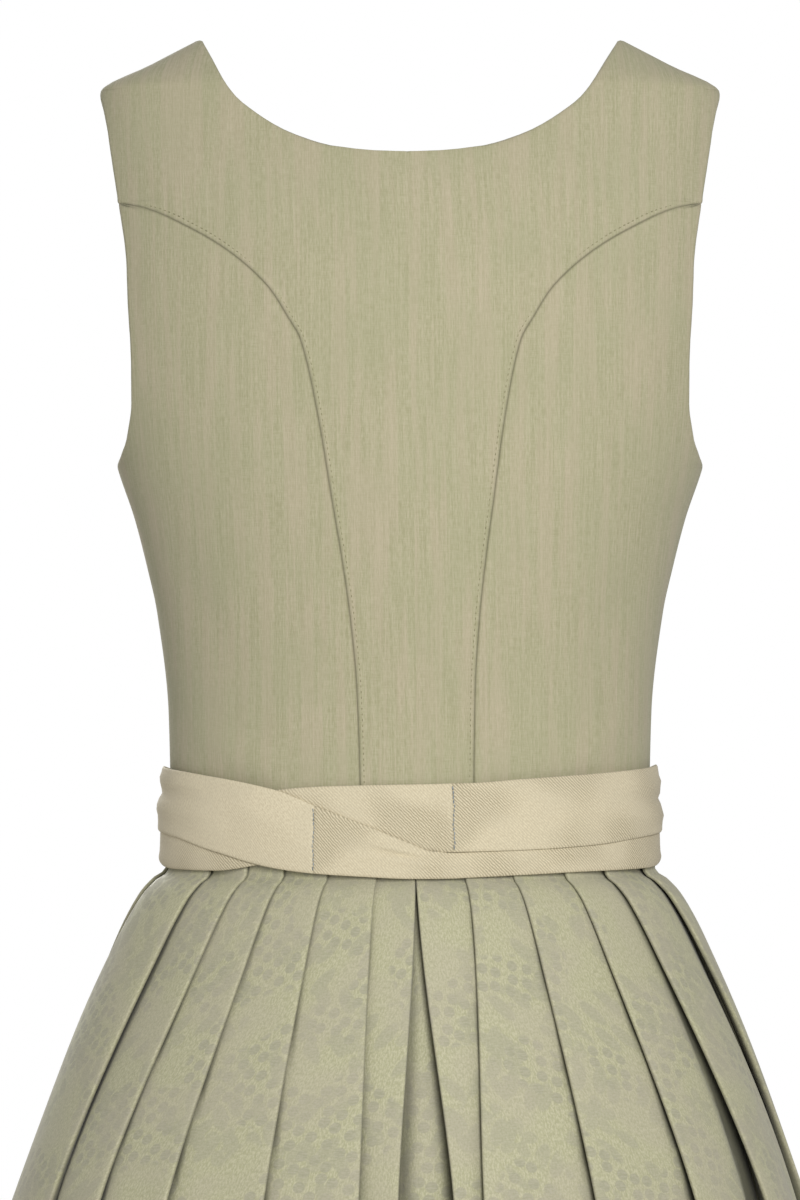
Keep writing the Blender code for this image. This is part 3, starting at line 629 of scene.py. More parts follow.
# %% Jacquard
def make_jacquard():
    material, tree, shader, place = start_material("tonal_jacquard", 0.72, 0.15)
    motif = use(tree, MOTIFS, Place=place)
    fine, weft = streaks(tree, place, 1100.0, 420.0), streaks(tree, place, 240.0, 1200.0)
    ground, drawn = (
        blend_colour(tree, ramp(tree, yarn, 0.3, 0.7), dark, light)
        for yarn, dark, light in (
            (fine, (0.425, 0.415, 0.255), (0.540, 0.520, 0.350)),
            (weft, (0.370, 0.360, 0.250), (0.440, 0.420, 0.305)),
        )
    )
    colour = tinted(tree, blend_colour(tree, maths(tree, "MULTIPLY", motif, 0.9), ground, drawn), (
        (grains(tree, place, 30.0), 0.38, 0.66, 0.35, (0.48, 0.435, 0.335)),
        (grains(tree, place, 900.0), 0.40, 0.75, 0.40, (0.34, 0.33, 0.215)),
    ))
    # Painted shade: near-black over the colour inside the pleats' folds and just out from under
    # their edges.
    colour = paint_fold_shade(tree, colour, 0.9, (0.07, 0.068, 0.04))
    tree.links.new(colour, shader.inputs["Base Color"])
    tree.links.new(ramp(tree, motif, 0.0, 1.0, 0.66, 0.8), shader.inputs["Roughness"])
    height = maths(tree, "MULTIPLY_ADD", fine, 0.6, maths(tree, "MULTIPLY", motif, -0.5))
    raise_threads(tree, shader, height, 0.3, 0.0003)
    return material


JACQUARD = make_jacquard()
print(JACQUARD.name, len(JACQUARD.node_tree.nodes), "nodes")

# %% [markdown]
# ## The apron's twill
# The apron, its ties and the bow are a cream twill. Its rib runs down to the right, and it shows
# best where the cloth is flat. Where the tie is rubbed and folded the rib nearly goes, so a slow
# noise fades it in and out.

# %% Twill
WORN_RIB = 0.35


def make_twill(name, depth_share):
    material, tree, shader, place = start_material(name, 0.82, 0.12)
    rib = use(tree, TWILL_RIB, Place=place, Ribs_per_metre=560.0, Lean=1.0)
    fine = streaks(tree, place, 900.0, 700.0)
    worn = ramp(tree, grains(tree, place, 17.0), 0.40, 0.58, WORN_RIB * depth_share, depth_share)
    depth = maths(tree, "MULTIPLY", rib, worn)
    colour = tinted(tree, blend_colour(tree, depth, (0.725, 0.645, 0.462), (0.335, 0.290, 0.188)), (
        (fine, 0.35, 0.70, 0.42, (0.50, 0.425, 0.285)),
        (grains(tree, place, 45.0), 0.40, 0.65, 0.18, (0.57, 0.51, 0.37)),
    ))
    tree.links.new(colour, shader.inputs["Base Color"])
    raise_threads(tree, shader, maths(tree, "ADD", rib, fine), 0.25, 0.0003)
    return material


TWILL = make_twill("cream_twill", 1.0)
SMOOTH_TWILL = make_twill("cream_twill_back", 0.35)
print(TWILL.name, len(TWILL.node_tree.nodes), "nodes")


# %% Threads and horn
def make_mottled(name, roughness, sheen, noise_values, low, high, dark, light):
    """A material mottled by a noise, with its node tree, its shader and the noise's value."""
    material, tree, shader, _ = start_material(name, roughness, sheen)
    place = add(tree, "ShaderNodeTexCoord").outputs["Object"]
    noise = add(tree, "ShaderNodeTexNoise")
    feed(tree, noise, {"Vector": place, **noise_values})
    share = ramp(tree, noise.outputs["Fac"], low, high)
    tree.links.new(blend_colour(tree, share, dark, light), shader.inputs["Base Color"])
    return material, tree, shader, noise.outputs["Fac"]


def make_thread(name, dark, light):
    return make_mottled(name, 0.8, 0.1, {"Scale": 900.0, "Detail": 1.0}, 0.35, 0.65, dark, light)[0]


def make_horn():
    grown = {"Scale": 260.0, "Detail": 3.0, "Distortion": 1.4}
    material, tree, shader, growth = make_mottled(
        "button_horn", 0.38, 0.0, grown, 0.36, 0.66, (0.12, 0.085, 0.045), (0.33, 0.25, 0.15)
    )
    shader.inputs["Specular IOR Level"].default_value = 0.5
    raise_threads(tree, shader, growth, 0.2, 0.0002)
    return material


SAGE_THREAD = make_thread("sage_thread", (0.20, 0.19, 0.10), (0.30, 0.28, 0.16))
GREY_THREAD = make_thread("blue_grey_thread", (0.20, 0.23, 0.25), (0.34, 0.37, 0.38))
HORN = make_horn()
print("thread and horn made")

# %% [markdown]
# ## The bodice's surface
# The panels are sewn with their turnings inside. That leaves a narrow valley at each seam, and a
# low ridge beside it where the turnings are pressed towards the middle panel. Open edges are
# turned in. Shade is painted into the colour along each seam's valley. The relief and that painted
# shade depend only on how far a point is from those lines, which a k-d tree finds.

# %% Lines of the bodice
LINE_STEP = 0.25


def heights(low, high):
    count = math.ceil((high - low) / LINE_STEP)
    return [low + (high - low) * i / count for i in range(count + 1)]


def both_sides(angles):
    """Places of (angle, z) pairs and of their mirror images."""
    return [figure_point(leaning(a, z), z) for left, z in angles for a in (left, 180.0 - left)]


def tree_of(places):
    tree = kdtree.KDTree(len(places))
    for index, place in enumerate(places):
        tree.insert(place, index)
    tree.balance()
    return tree


def neck_angles(edge, low, sign):
    return [(sign * angle_at(edge(z), z), z) for z in heights(low, SHOULDER_TOP_Z)]


princess_lines = both_sides(
    [(back_seam_angle(z), z) for z in heights(WAIST_Z, BACK_SEAM_TOP_Z)]
    + [(front_seam_angle(z), z) for z in heights(WAIST_Z, FRONT_SEAM_TOP_Z)]
)
side_lines = both_sides(
    [(0.0, z) for z in heights(WAIST_Z, UNDERARM_Z) + heights(SHOULDER_TIP_Z, SHOULDER_TOP_Z)]
)
open_lines = both_sides(
    neck_angles(back_neckline, BACK_NECK_Z, 1)
    + neck_angles(front_neckline, FRONT_NECK_Z, -1)
    + [
        (arm_angle(z, side), z)
        for side in ("back", "front") for z in heights(UNDERARM_Z, SHOULDER_TIP_Z)
    ]
)
princess_tree, side_tree, open_tree = map(tree_of, (princess_lines, side_lines, open_lines))
print("line points", len(princess_lines), len(side_lines), len(open_lines))

# %% Relief of seams and edges
EDGE_REACH, EDGE_DROP = 2.0, 0.8
VALLEY_REACH, VALLEY_DROP = 1.0, 1.0
RIDGE_FROM, RIDGE_TO, RIDGE_HEIGHT = 0.7, 2.9, 0.42
# SEAM_SHADE is how far from a seam the painted shade reaches, in millimetres.
SEAM_SHADE = 1.15
STITCH_AT = 2.3


def relief(place, ridged):
    """How far the cloth stands out at a place, and the shade painted beside a seam; ridged is true
    on a princess seam's middle side.
    """
    from_open, from_side = (tree.find(place)[2] for tree in (open_tree, side_tree))
    from_princess = princess_tree.find(place)[2]
    out = -EDGE_DROP * max(1 - from_open / EDGE_REACH, 0.0) ** 2
    for gap in (from_side, from_princess):
        out -= VALLEY_DROP * max(1 - gap / VALLEY_REACH, 0.0) ** 2
    if ridged and RIDGE_FROM < from_princess < RIDGE_TO:
        share = (from_princess - RIDGE_FROM) / (RIDGE_TO - RIDGE_FROM)
        out += RIDGE_HEIGHT * math.sin(math.pi * share)
    return out, max(1 - min(from_side, from_princess) / SEAM_SHADE, 0.0)


# Soft creases, listed one by one: u, z, half length, half width, lean and depth. u is round the
# cloth from the middle, to the wearer's left.
BACK_CREASES = (
    (92.0, -392.0, 40.0, 7.0, 14.0, -0.9),
    (104.0, -374.0, 44.0, 8.0, 20.0, 0.8),
    (-98.0, -388.0, 42.0, 7.0, -16.0, -0.8),
    (-112.0, -366.0, 46.0, 9.0, -24.0, 0.8),
    (18.0, -400.0, 30.0, 5.0, 4.0, -0.7),
    (-22.0, -396.0, 26.0, 5.0, -6.0, 0.6),
    (118.0, -300.0, 58.0, 12.0, 62.0, -0.7),
    (-120.0, -296.0, 60.0, 12.0, -58.0, -0.7),
    (62.0, -118.0, 40.0, 12.0, 28.0, 0.7),
    (-66.0, -122.0, 44.0, 12.0, -30.0, 0.6),
    (8.0, -206.0, 80.0, 18.0, 86.0, 0.5),
)
FRONT_CREASES = (
    (96.0, -388.0, 42.0, 8.0, 18.0, -0.9),
    (-94.0, -384.0, 40.0, 8.0, -15.0, -0.9),
    (70.0, -318.0, 46.0, 10.0, 66.0, -0.9),
    (-74.0, -322.0, 44.0, 10.0, -62.0, -0.8),
    (112.0, -236.0, 34.0, 9.0, 32.0, -1.0),
    (-110.0, -240.0, 32.0, 9.0, -35.0, -0.9),
    (20.0, -300.0, 18.0, 5.0, 8.0, -0.5),
    (-18.0, -268.0, 16.0, 5.0, -10.0, -0.5),
)


def crease(u, z, rows):
    total = 0.0
    for centre_u, centre_z, half_length, half_width, lean, depth in rows:
        turn = math.radians(lean)
        along = (u - centre_u) * math.cos(turn) + (z - centre_z) * math.sin(turn)
        across = (z - centre_z) * math.cos(turn) - (u - centre_u) * math.sin(turn)
        if abs(along) < half_length and abs(across) < 3 * half_width:
            ends = math.cos(math.pi * along / (2 * half_length)) ** 2
            total += depth * ends * math.exp(-((across / half_width) ** 2))
    return total


print("creases", len(BACK_CREASES) + len(FRONT_CREASES))

# %% [markdown]
# ## Bodice panels
# Each panel is a set of level rows from its outer edge to its inner one. The points crowd together
# at both edges, where the seam relief is, and spread evenly between. A centre panel is two such
# halves that meet in the middle.

# %% Panel rows
EDGE_STEPS = (0.0, 0.4, 0.9, 1.4, 1.9, 2.4, 3.0, 4.2, 6.5)
ARC_STEPS, ALONG_STEP = 30, 2.0
BODICE_THICK = 1.4
STEEPEST_EDGE = 3.0
EDGE_SHARE = 1.3  # a row's edges may take up one part in this of it


def arc_from_middle(z, middle):
    """Cloth length from the middle of the back (90) or front (-90) out to an angle, at a height."""
    step = 90.0 / ARC_STEPS
    lengths = running_lengths(
        [figure_point(middle * (1 - i / ARC_STEPS), z) for i in range(ARC_STEPS + 1)]
    )

    def at(angle):
        share = abs(middle - angle) / step
        i = min(int(share), ARC_STEPS - 1)
        return lengths[i] + (lengths[i + 1] - lengths[i]) * (share - i)

    return at


def along_cloth(side):
    """Cloth length up the middle of the back or the front, from the waist."""
    count = int((SHOULDER_NECK_Z - WAIST_Z) / ALONG_STEP) + 2
    zs = [WAIST_Z + i * ALONG_STEP for i in range(count)]
    return smooth_curve(zs, running_lengths([(z, figure[side](z)) for z in zs]))


cloth_height = {90.0: along_cloth("back"), -90.0: along_cloth("front")}


def edge_slope(edge, z):
    lean = math.radians(edge(z + 0.5) - edge(z - 0.5)) * figure["half_width"](z)
    return min(math.hypot(1.0, lean), STEEPEST_EDGE)


# The neckline's lowest part: its height, its rise and how far from the middle it has risen.
NECK_RISE = {90.0: (BACK_NECK_Z, 3.5, 40.5), -90.0: (FRONT_NECK_Z, 7.0, 46.0)}
BEND_DEPTH = 6.0  # how many times its rise the bend reaches down
STRAP_BLEND = 12.0


def row_angles(z, outer, inner, spread, middle):
    """Angles from a row's outer end to its inner one, crowded at both."""
    start, end = outer(z), inner(z)
    side = "back" if middle > 0 else "front"
    sizes = (figure["half_width"](z), figure[side](z))
    turn = math.copysign(1.0, end - start)
    near = [s * edge_slope(outer, z) * degrees_for(1.0, start, *sizes) for s in EDGE_STEPS]
    far = [s * edge_slope(inner, z) * degrees_for(1.0, end, *sizes) for s in EDGE_STEPS]
    if abs(end - middle) < 1e-6:
        far = [s * degrees_for(1.0, end, *sizes) for s in EDGE_STEPS]
    room = abs(end - start) / (EDGE_SHARE * (near[-1] + far[-1]))
    near, far = ([step * min(room, 1.0) for step in steps] for steps in (near, far))
    low, high = start + turn * near[-1], end - turn * far[-1]
    inside = [low + (high - low) * i / (spread + 1) for i in range(1, spread + 1)]
    return [start + turn * s for s in near] + inside + [end - turn * s for s in reversed(far)]


def panel(levels, outer, inner, spread, middle, mirror, ridged, extra=lambda u: 0.0):
    """A half panel's grids of (place, (across, along), painted shade) spots.

    A middle panel is two grids: its rows bend up under the neckline's lowest part, and the strap
    above starts on the last of them.
    """
    table = BACK_CREASES if middle > 0 else FRONT_CREASES
    neck_z, rise, reach = NECK_RISE[middle]

    def spot(arc, angle, z):
        u = arc(angle) * (-1 if mirror else 1)
        real = leaning(180.0 - angle if mirror else angle, z)
        place = figure_point(real, z)
        out, painted_shade = relief(place, ridged)
        out += crease(u, z, table) + extra(u)
        return place + figure_normal(real, z) * out, (u, cloth_height[middle](z)), painted_shade

    rows, strap = [], []
    if not ridged:
        for z in levels:
            arc = arc_from_middle(z, middle)
            angles = row_angles(z, outer, inner, spread, middle)
            rows.append([spot(arc, angle, z) for angle in angles])
        return [rows]
    for level in (z for z in levels if z <= neck_z):
        arc = arc_from_middle(level, middle)
        bend = rise * smooth_step(neck_z - BEND_DEPTH * rise, neck_z, level)
        angles = row_angles(level + bend, outer, lambda _: inner(level), spread, middle)
        half_widths = [abs(figure_point(angle, level).x) for angle in angles]
        corner = min(range(len(angles)), key=lambda i: abs(half_widths[i] - reach))
        if level == neck_z:
            angles[corner] = math.copysign(angle_at(reach, level + bend), middle)
            half_widths[corner] = reach
        rows.append([
            spot(arc, angle, level + bend * min(x / reach, 1.0) ** 2)
            for angle, x in zip(angles, half_widths)
        ])
    strap.append(rows[-1][:corner + 1])
    shares = [(angle - angles[0]) / (angles[corner] - angles[0]) for angle in angles[:corner + 1]]
    for z in (z for z in levels if z > neck_z):
        arc, start, end = arc_from_middle(z, middle), outer(z), inner(z)
        crowded = row_angles(z, outer, inner, corner + 1 - 2 * len(EDGE_STEPS), middle)
        blend = smooth_step(neck_z + rise, neck_z + rise + STRAP_BLEND, z)
        strap.append([
            spot(arc, (start + (end - start) * share) * (1 - blend) + angle * blend, z)
            for share, angle in zip(shares, crowded)
        ])
    return [rows, strap]


def inset(edge, side):
    """The edge drawn in, square to the seam, towards larger angles (1) or smaller ones (-1)."""
    def at(z):
        gap = math.degrees(SEAM_INSET / figure["half_width"](z))
        return edge(z) + side * edge_slope(edge, z) * gap

    return at


def side_edge(side):
    sign = 1 if side == "back" else -1

    def at(z):
        gap = math.degrees(SEAM_INSET / figure["half_width"](z))
        return arm_angle(z, side) + (sign * gap if z <= UNDERARM_Z or z >= SHOULDER_TIP_Z else 0.0)

    return at


print("back cloth, waist to shoulder", round(cloth_height[90.0](SHOULDER_TOP_Z)), "mm")

# %% Back panels
ROW_STEP = 3.2
MIDDLE_SPREAD, SIDE_SPREAD = 34, 26
back_arm, front_arm = side_edge("back"), side_edge("front")
back_middle_seam, back_side_seam = inset(back_seam_angle, 1), inset(back_seam_angle, -1)
front_middle_seam, front_side_seam = inset(front_seam_angle, -1), inset(front_seam_angle, 1)


def back_outer(z):
    return back_middle_seam(z) if z < BACK_SEAM_TOP_Z else back_arm(z)


def back_inner(z):
    return 90.0 if z <= BACK_NECK_Z else angle_at(back_neckline(z), z)


BELOW_NECK = (0.0, 0.35, 0.8, 1.5, 2.6)
BEND_GAP, SEAM_ROOM, STRAP_GAP = 4.0, 2.0, 0.2


def middle_levels(neck_z, rise, seam_top_z):
    """A middle panel's levels, which leave out those that the neckline's bend takes in."""
    top = neck_z - BEND_GAP
    close = (seam_top_z,) if seam_top_z < top - SEAM_ROOM else ()
    low = levels_between(WAIST_Z, top, ROW_STEP, near=close)
    start = neck_z + rise
    close = (start, seam_top_z, SHOULDER_TOP_Z, SHOULDER_TIP_Z)
    high = levels_between(start, SHOULDER_TOP_Z, ROW_STEP, near=close)
    bent = [neck_z - gap for gap in reversed(BELOW_NECK)]
    return low + bent + [z for z in high if z > start + STRAP_GAP]


back_levels = middle_levels(*NECK_RISE[90.0][:2], BACK_SEAM_TOP_Z)
side_back_levels = levels_between(WAIST_Z, BACK_SEAM_TOP_Z - 0.4, ROW_STEP, near=(UNDERARM_Z,))
panels = {}


def sew_panel(node, rows):
    panels[node] = cloth(f"{node}_cloth", rows, BODICE_THICK, LINEN, from_axis)


sew_panel("back", [
    rows for mirror in (False, True)
    for rows in panel(back_levels, back_outer, back_inner, MIDDLE_SPREAD, 90.0, mirror, True)
])
for name, mirror in (("left", False), ("right", True)):
    rows = panel(side_back_levels, back_arm, back_side_seam, SIDE_SPREAD, 90.0, mirror, False)
    sew_panel(f"side_back_{name}", rows)

# %% Front panels
front_levels = middle_levels(*NECK_RISE[-90.0][:2], FRONT_SEAM_TOP_Z)
side_front_levels = levels_between(WAIST_Z, FRONT_SEAM_TOP_Z - 0.4, ROW_STEP, near=(UNDERARM_Z,))


def front_outer(z):
    return front_middle_seam(z) if z < FRONT_SEAM_TOP_Z else front_arm(z)


def front_inner(z):
    if z <= FRONT_NECK_Z:
        return -90.0 - math.degrees(OVERLAP_HALF / figure["half_width"](z))
    return -angle_at(front_neckline(z), z)


def closure(sign):
    """The two fronts pass in front of and behind each other at the middle."""
    def out(u):
        return sign * OVERLAP_OUT * (1 - smooth_step(*OVERLAP_RAMP, abs(u)))

    return out


for name, mirror, sign in (("left", False, -1), ("right", True, 1)):
    lines = (front_levels, front_outer, front_inner)
    rows = panel(*lines, MIDDLE_SPREAD, -90.0, mirror, True, closure(sign))
    sew_panel(f"front_{name}", rows)
    rows = panel(side_front_levels, front_arm, front_side_seam, SIDE_SPREAD, -90.0, mirror, False)
    sew_panel(f"side_front_{name}", rows)
print("bodice panels", sorted(panels))

# %% [markdown]
# ## Stitches beside the seams
# Two millimetres inside each princess seam runs a line of small dark stitches, which holds the
# turnings flat. One stitch is a short rounded grain of thread. Each seam's line of stitches is one
# piece.

# %% Princess stitches
STITCH_PITCH, STITCH_LONG, STITCH_THICK = 2.9, 1.8, 0.6
STITCH_RISE, STITCH_END = 0.22, 2.0


def stitch_line(edge, low, high, middle, mirror, out):
    """Frames along a line STITCH_AT from the seam: places with the directions along and outward."""
    spots, last = [], None
    for z in heights(low, high):
        sizes = (figure["half_width"](z), figure["back" if middle > 0 else "front"](z))
        shift = STITCH_AT * edge_slope(edge, z) * degrees_for(1.0, edge(z), *sizes)
        angle = edge(z) + math.copysign(shift, middle)
        real = leaning(180.0 - angle if mirror else angle, z)
        normal = figure_normal(real, z)
        place = figure_point(real, z) + normal * out
        if last is None or (place - last).length >= STITCH_PITCH:
            if last is not None:
                spots.append((place, (place - last).normalized(), normal))
            last = place
    return spots


def stitches(name, spots, long, thick, material):
    mesh = bmesh.new()
    for place, along, normal in spots:
        across = normal.cross(along).normalized()
        turned = Matrix((along * long / 2, across * thick / 2, normal * thick / 2)).transposed()
        laid = Matrix.Scale(MM, 4) @ Matrix.Translation(place) @ turned.to_4x4()
        made = bmesh.ops.create_icosphere(mesh, subdivisions=1, radius=1.0)
        bmesh.ops.transform(mesh, verts=made["verts"], matrix=laid)
    print(name, len(spots), "stitches")
    return finished(name, mesh, material)


seam_stitches = {}
stitch_out = BODICE_THICK / 2 + STITCH_RISE
for name, edge, top, middle in (
    ("back", back_seam_angle, BACK_SEAM_TOP_Z - STITCH_END, 90.0),
    ("front", front_seam_angle, FRONT_SEAM_TOP_Z - STITCH_END, -90.0),
):
    for side, mirror in (("left", False), ("right", True)):
        line = f"{name}_{side}"
        spots = stitch_line(edge, WAIST_Z, top, middle, mirror, stitch_out)
        seam_stitches[line] = stitches(
            f"{line}_seam_stitches", spots, STITCH_LONG, STITCH_THICK, SAGE_THREAD
        )

# %% [markdown]
# ## The skirt's rings and pleats
# A dirndl skirt is a long straight cloth laid in pleats. Each level is an oval ring, and each pleat
# is a fold under the panel beside it. The folds are pressed at the waist and open towards the hem.
# The two folds in the middle of the back face each other, so a narrow underlay shows between them.

# %% Skirt tables
HEM_Z = -1117.0
SKIRT_THICK = 0.9
SKIRT_COLUMNS = ("z", "half_width", "back", "front", "fold", "out", "into")
SKIRT = (
    (WAIST_Z - 0.8, 131.4, 87.6, 94.6, 0.72, 1.7, 3.8),
    (-441.6, 132.8, 89.4, 96.4, 0.72, 1.8, 3.8),
    (-445.5, 138.4, 94.4, 101.6, 0.715, 2.0, 3.8),
    (-455.0, 146.9, 102.2, 108.6, 0.71, 2.2, 4.0),
    (-490.0, 164.0, 120.0, 125.5, 0.70, 3.0, 4.6),
    (-560.0, 191.0, 150.0, 153.0, 0.58, 4.2, 6.5),
    (-660.0, 222.5, 187.0, 187.5, 0.32, 7.5, 11.0),
    (-830.0, 267.0, 237.0, 234.5, 0.0, 11.0, 15.0),
    (HEM_Z, 318.0, 296.0, 289.0, -0.20, 14.0, 19.0),
)
LOW_RING_Z = -623.0
FOLD_TURN = 1.65
FOLD_ROUND = {True: 0.3, False: 1.6}  # how far an edge rounds, where it is pressed and where not
PRESSED_FOLD = 0.1
# A pleat's way, its angle at the waist and low down, and its belly, dip, wide and shade. The belly
# rounds the panel after an edge. The dip sinks the panel under it, wide that far, or lifts it where
# it is less than 0. The shade is how far the shade painted into the colour reaches out from under
# the edge.
BACK_PLEATS = (
    (-1, 12.0, -4.0, 1.5, 3.0, 4.2, 1.2),
    (1, 36.0, 26.0, 1.4, -7.0, 26.0, 0.9),
    (1, 49.0, 39.0, 0.8, -6.0, 24.0, 0.9),
    (1, 59.5, 52.5, 1.6, -5.0, 22.0, 1.1),
    (1, 70.5, 68.5, 1.1, -3.0, 16.0, 1.6),
    (1, 82.0, 82.5, 0.9, 1.0, 5.0, 2.4),
    (1, 91.0, 88.0, 1.5, 9.0, 5.0, 5.0),
    (-1, 91.3, 96.4, 1.0, 5.0, 6.0, 4.0),
    (-1, 103.0, 100.5, 1.3, 2.0, 4.2, 1.6),
    (-1, 114.5, 117.5, 1.2, -2.0, 12.0, 1.5),
    (-1, 128.5, 135.5, 1.8, -3.0, 14.0, 1.4),
    (-1, 142.0, 153.0, 3.1, 3.5, 7.0, 3.4),
    (-1, 162.5, 180.0, 1.5, -8.0, 16.0, 0.9),
)
FRONT_PLEAT_COUNT = 15
FRONT_BELLIES = (1.2, 0.7, 1.6, 1.0, 1.9)
FRONT_DIPS = (2.4, 3.6, 1.0, 3.0)
FRONT_WIDE, FRONT_SHADE = 5.0, 2.0
LAST_BACK = len(BACK_PLEATS) - 1
WIDEST_DEG, BOX_SHARE = 12.5, 0.6
ring = smooth_table(SKIRT_COLUMNS, SKIRT)
pleats = [tuple(row) for row in BACK_PLEATS]
for k in range(1, FRONT_PLEAT_COUNT + 1):
    share = k / (FRONT_PLEAT_COUNT + 1)
    start, end = BACK_PLEATS[-1][1:3], [angle + 360.0 for angle in BACK_PLEATS[0][1:3]]
    softness = (FRONT_BELLIES[k % len(FRONT_BELLIES)], FRONT_DIPS[k % len(FRONT_DIPS)])
    pleats.append((1, *mix(start, end, share), *softness, FRONT_WIDE, FRONT_SHADE))
print("pleats", len(pleats))


# %% One level of the skirt
def depth_at(angle, size):
    return size["back"] if math.sin(math.radians(angle)) >= 0 else size["front"]


def section_point(angle, size, out, last):
    """A place on a level oval, moved out along the oval's normal, with a third part after it."""
    turn = math.radians(angle)
    half_width, depth = size["half_width"], depth_at(angle, size)
    normal = Vector((depth * math.cos(turn), half_width * math.sin(turn))).normalized()
    spot = Vector((half_width * math.cos(turn), depth * math.sin(turn))) + normal * out
    return Vector((*spot, last))


def edge_of(k, low):
    turns, index = divmod(k, len(pleats))
    way, waist, below, *softness = pleats[index]
    return way, waist * (1 - low) + below * low + 360.0 * turns, *softness


def fold_places(k, size, low):
    """Edge k's four places, from the panel before it round both folds to the panel after it."""
    way, angle = edge_of(k, low)[:2]
    other_way, other = edge_of(k - way, low)[:2]
    lap = size["fold"] * min(abs(angle - other), WIDEST_DEG)
    if way != other_way:
        lap *= BOX_SHARE
    turn = FOLD_ROUND[size["fold"] > PRESSED_FOLD]
    turn = degrees_for(turn, angle, size["half_width"], depth_at(angle, size))
    places = (
        (angle, size["out"]),
        (angle + way * turn, size["out"] - FOLD_TURN),
        (angle - way * (lap + turn), FOLD_TURN - size["into"]),
        (angle - way * lap, -size["into"]),
    )
    return places if way == 1 else places[::-1]


PANEL_STEPS, RETURN_STEPS = 17, 2
# The painted shade is full this far inside a fold, in millimetres.
SHADE_INSIDE = 0.9  # how far inside a fold the shade is full
RIPPLE, RIPPLE_LONG, RIPPLE_SPREAD = 0.7, 52.0, 9.0
LEAST = 0.35  # the share of its depth and width that a dip has at the waist
DEEPEN_Z, LIFT_Z, OPEN_Z = (WAIST_Z - 30.0, -640.0), (-480.0, -660.0), (-440.0, -620.0)
BELLY_Z, RELAX_Z = (WAIST_Z - 30.0, -700.0), (-520.0, -1000.0)


def panel_places(k, first, last, size, low, full, z):
    """The panel from edge k - 1 to edge k: bellied, sunk beside each fold that lies over it, and
    given painted shade there.
    """
    way, near, belly, *near_fold = edge_of(k - 1, low)
    far_way, far, _, *far_fold = edge_of(k, low)
    ripple = math.sin(z / (RIPPLE_LONG + RIPPLE_SPREAD * math.sin(2.1 * k)) + 1.7 * k)
    belly = full * (belly + RIPPLE * ripple)
    middle = (near + far) / 2
    millimetre = degrees_for(1.0, middle, size["half_width"], depth_at(middle, size))
    deepening = LEAST + (1 - LEAST) * smooth_step(*DEEPEN_Z, z)
    lifting = smooth_step(*LIFT_Z, z)
    opening = LEAST + (1 - LEAST) * smooth_step(*OPEN_Z, z)
    found = []
    for i in range(1, PANEL_STEPS + 1):
        share = i / (PANEL_STEPS + 1)
        angle, out = mix(first, last, share)
        out += belly * math.sin(math.pi * share)
        painted_shade = 0.0
        for under, past, (dip, wide, shade) in (
            (way == 1, near - angle, near_fold), (far_way == -1, angle - far, far_fold)
        ):
            if under:
                gap = past / millimetre
                sunk = dip * (deepening if dip > 0 else lifting)
                out -= sunk * math.exp(-((gap / (wide * opening)) ** 2))
                painted_shade = max(painted_shade, smooth_step(-shade * opening, SHADE_INSIDE, gap))
        found.append((angle, out, painted_shade))
    return found


def with_shade_shares(places, shade_shares):
    return [(*place, depth) for place, depth in zip(places, shade_shares)]


def pleat_row(z, first, last):
    """The cloth's middle line at a height, from the middle of one seam's fold to the other's."""
    low, full = smooth_step(WAIST_Z, LOW_RING_Z, z), smooth_step(*BELLY_Z, z)
    size = measures(ring, z)
    folds = {k: fold_places(k, size, low) for k in range(first - 1, last + 2)}
    ways = {k: edge_of(k, low)[0] for k in folds}
    before, after = folds[first - 1], folds[last + 1]
    starts = (mix(before[1], before[2], 0.5), *before[2:])
    ends = (*after[:2], mix(after[1], after[2], 0.5))
    # The last number at each place is the share of shade painted there: none on a fold's outer
    # edge, full inside it.
    line = with_shade_shares(starts, (1.0, 1.0, 1.0) if ways[first - 1] == 1 else (1.0, 0.7, 0.0))
    corners = {1, 2}
    for k in range(first, last + 2):
        line += panel_places(k, line[-1][:2], folds[k][0], size, low, full, z)
        corners |= {len(line), len(line) + 1}
        if k <= last:
            fold = folds[k]
            inner = len(line) + 2 + RETURN_STEPS
            corners |= {inner, inner + 1}
            steps = range(1, RETURN_STEPS + 1)
            returned = [mix(fold[1], fold[2], i / (RETURN_STEPS + 1)) for i in steps]
            shade_shares = (0.0, 0.7, *[1.0] * RETURN_STEPS, 1.0, 1.0)
            line += with_shade_shares((*fold[:2], *returned, *fold[2:]), shade_shares[::ways[k]])
    line += with_shade_shares(ends, (0.0, 0.7, 1.0) if ways[last + 1] == 1 else (1.0, 1.0, 1.0))
    spots = [section_point(angle, size, out, depth) for angle, out, depth in line]
    spots[0] += (spots[1] - spots[0]).normalized() * SEAM_INSET
    spots[-1] += (spots[-2] - spots[-1]).normalized() * SEAM_INSET
    return softened(spots, corners, smooth_step(*RELAX_Z, z))


ROUNDING, ROUNDING_SHARE, RELAX_TURNS = 0.55, 0.4, 3


def softened(spots, corners, share):
    """Each corner becomes three points, and low on the skirt the whole line relaxes a little."""
    rounded = [spots[0]]
    for index in range(1, len(spots) - 1):
        before, spot, after = spots[index - 1:index + 2]
        if index not in corners:
            rounded.append(spot)
            continue
        reach = [min(ROUNDING, (end - spot).length * ROUNDING_SHARE) for end in (before, after)]
        first = spot + (before - spot).normalized() * reach[0]
        last = spot + (after - spot).normalized() * reach[1]
        rounded += [first, (first + last + spot * 2) / 4, last]
    rounded.append(spots[-1])
    for _ in range(RELAX_TURNS):
        inner = [
            spot.lerp((before + after) / 2, 0.5 * share)
            for before, spot, after in zip(rounded, rounded[1:], rounded[2:])
        ]
        rounded = [rounded[0], *inner, rounded[-1]]
    return rounded


print("points in a level of the back skirt", len(pleat_row(-700.0, 1, LAST_BACK - 1)))

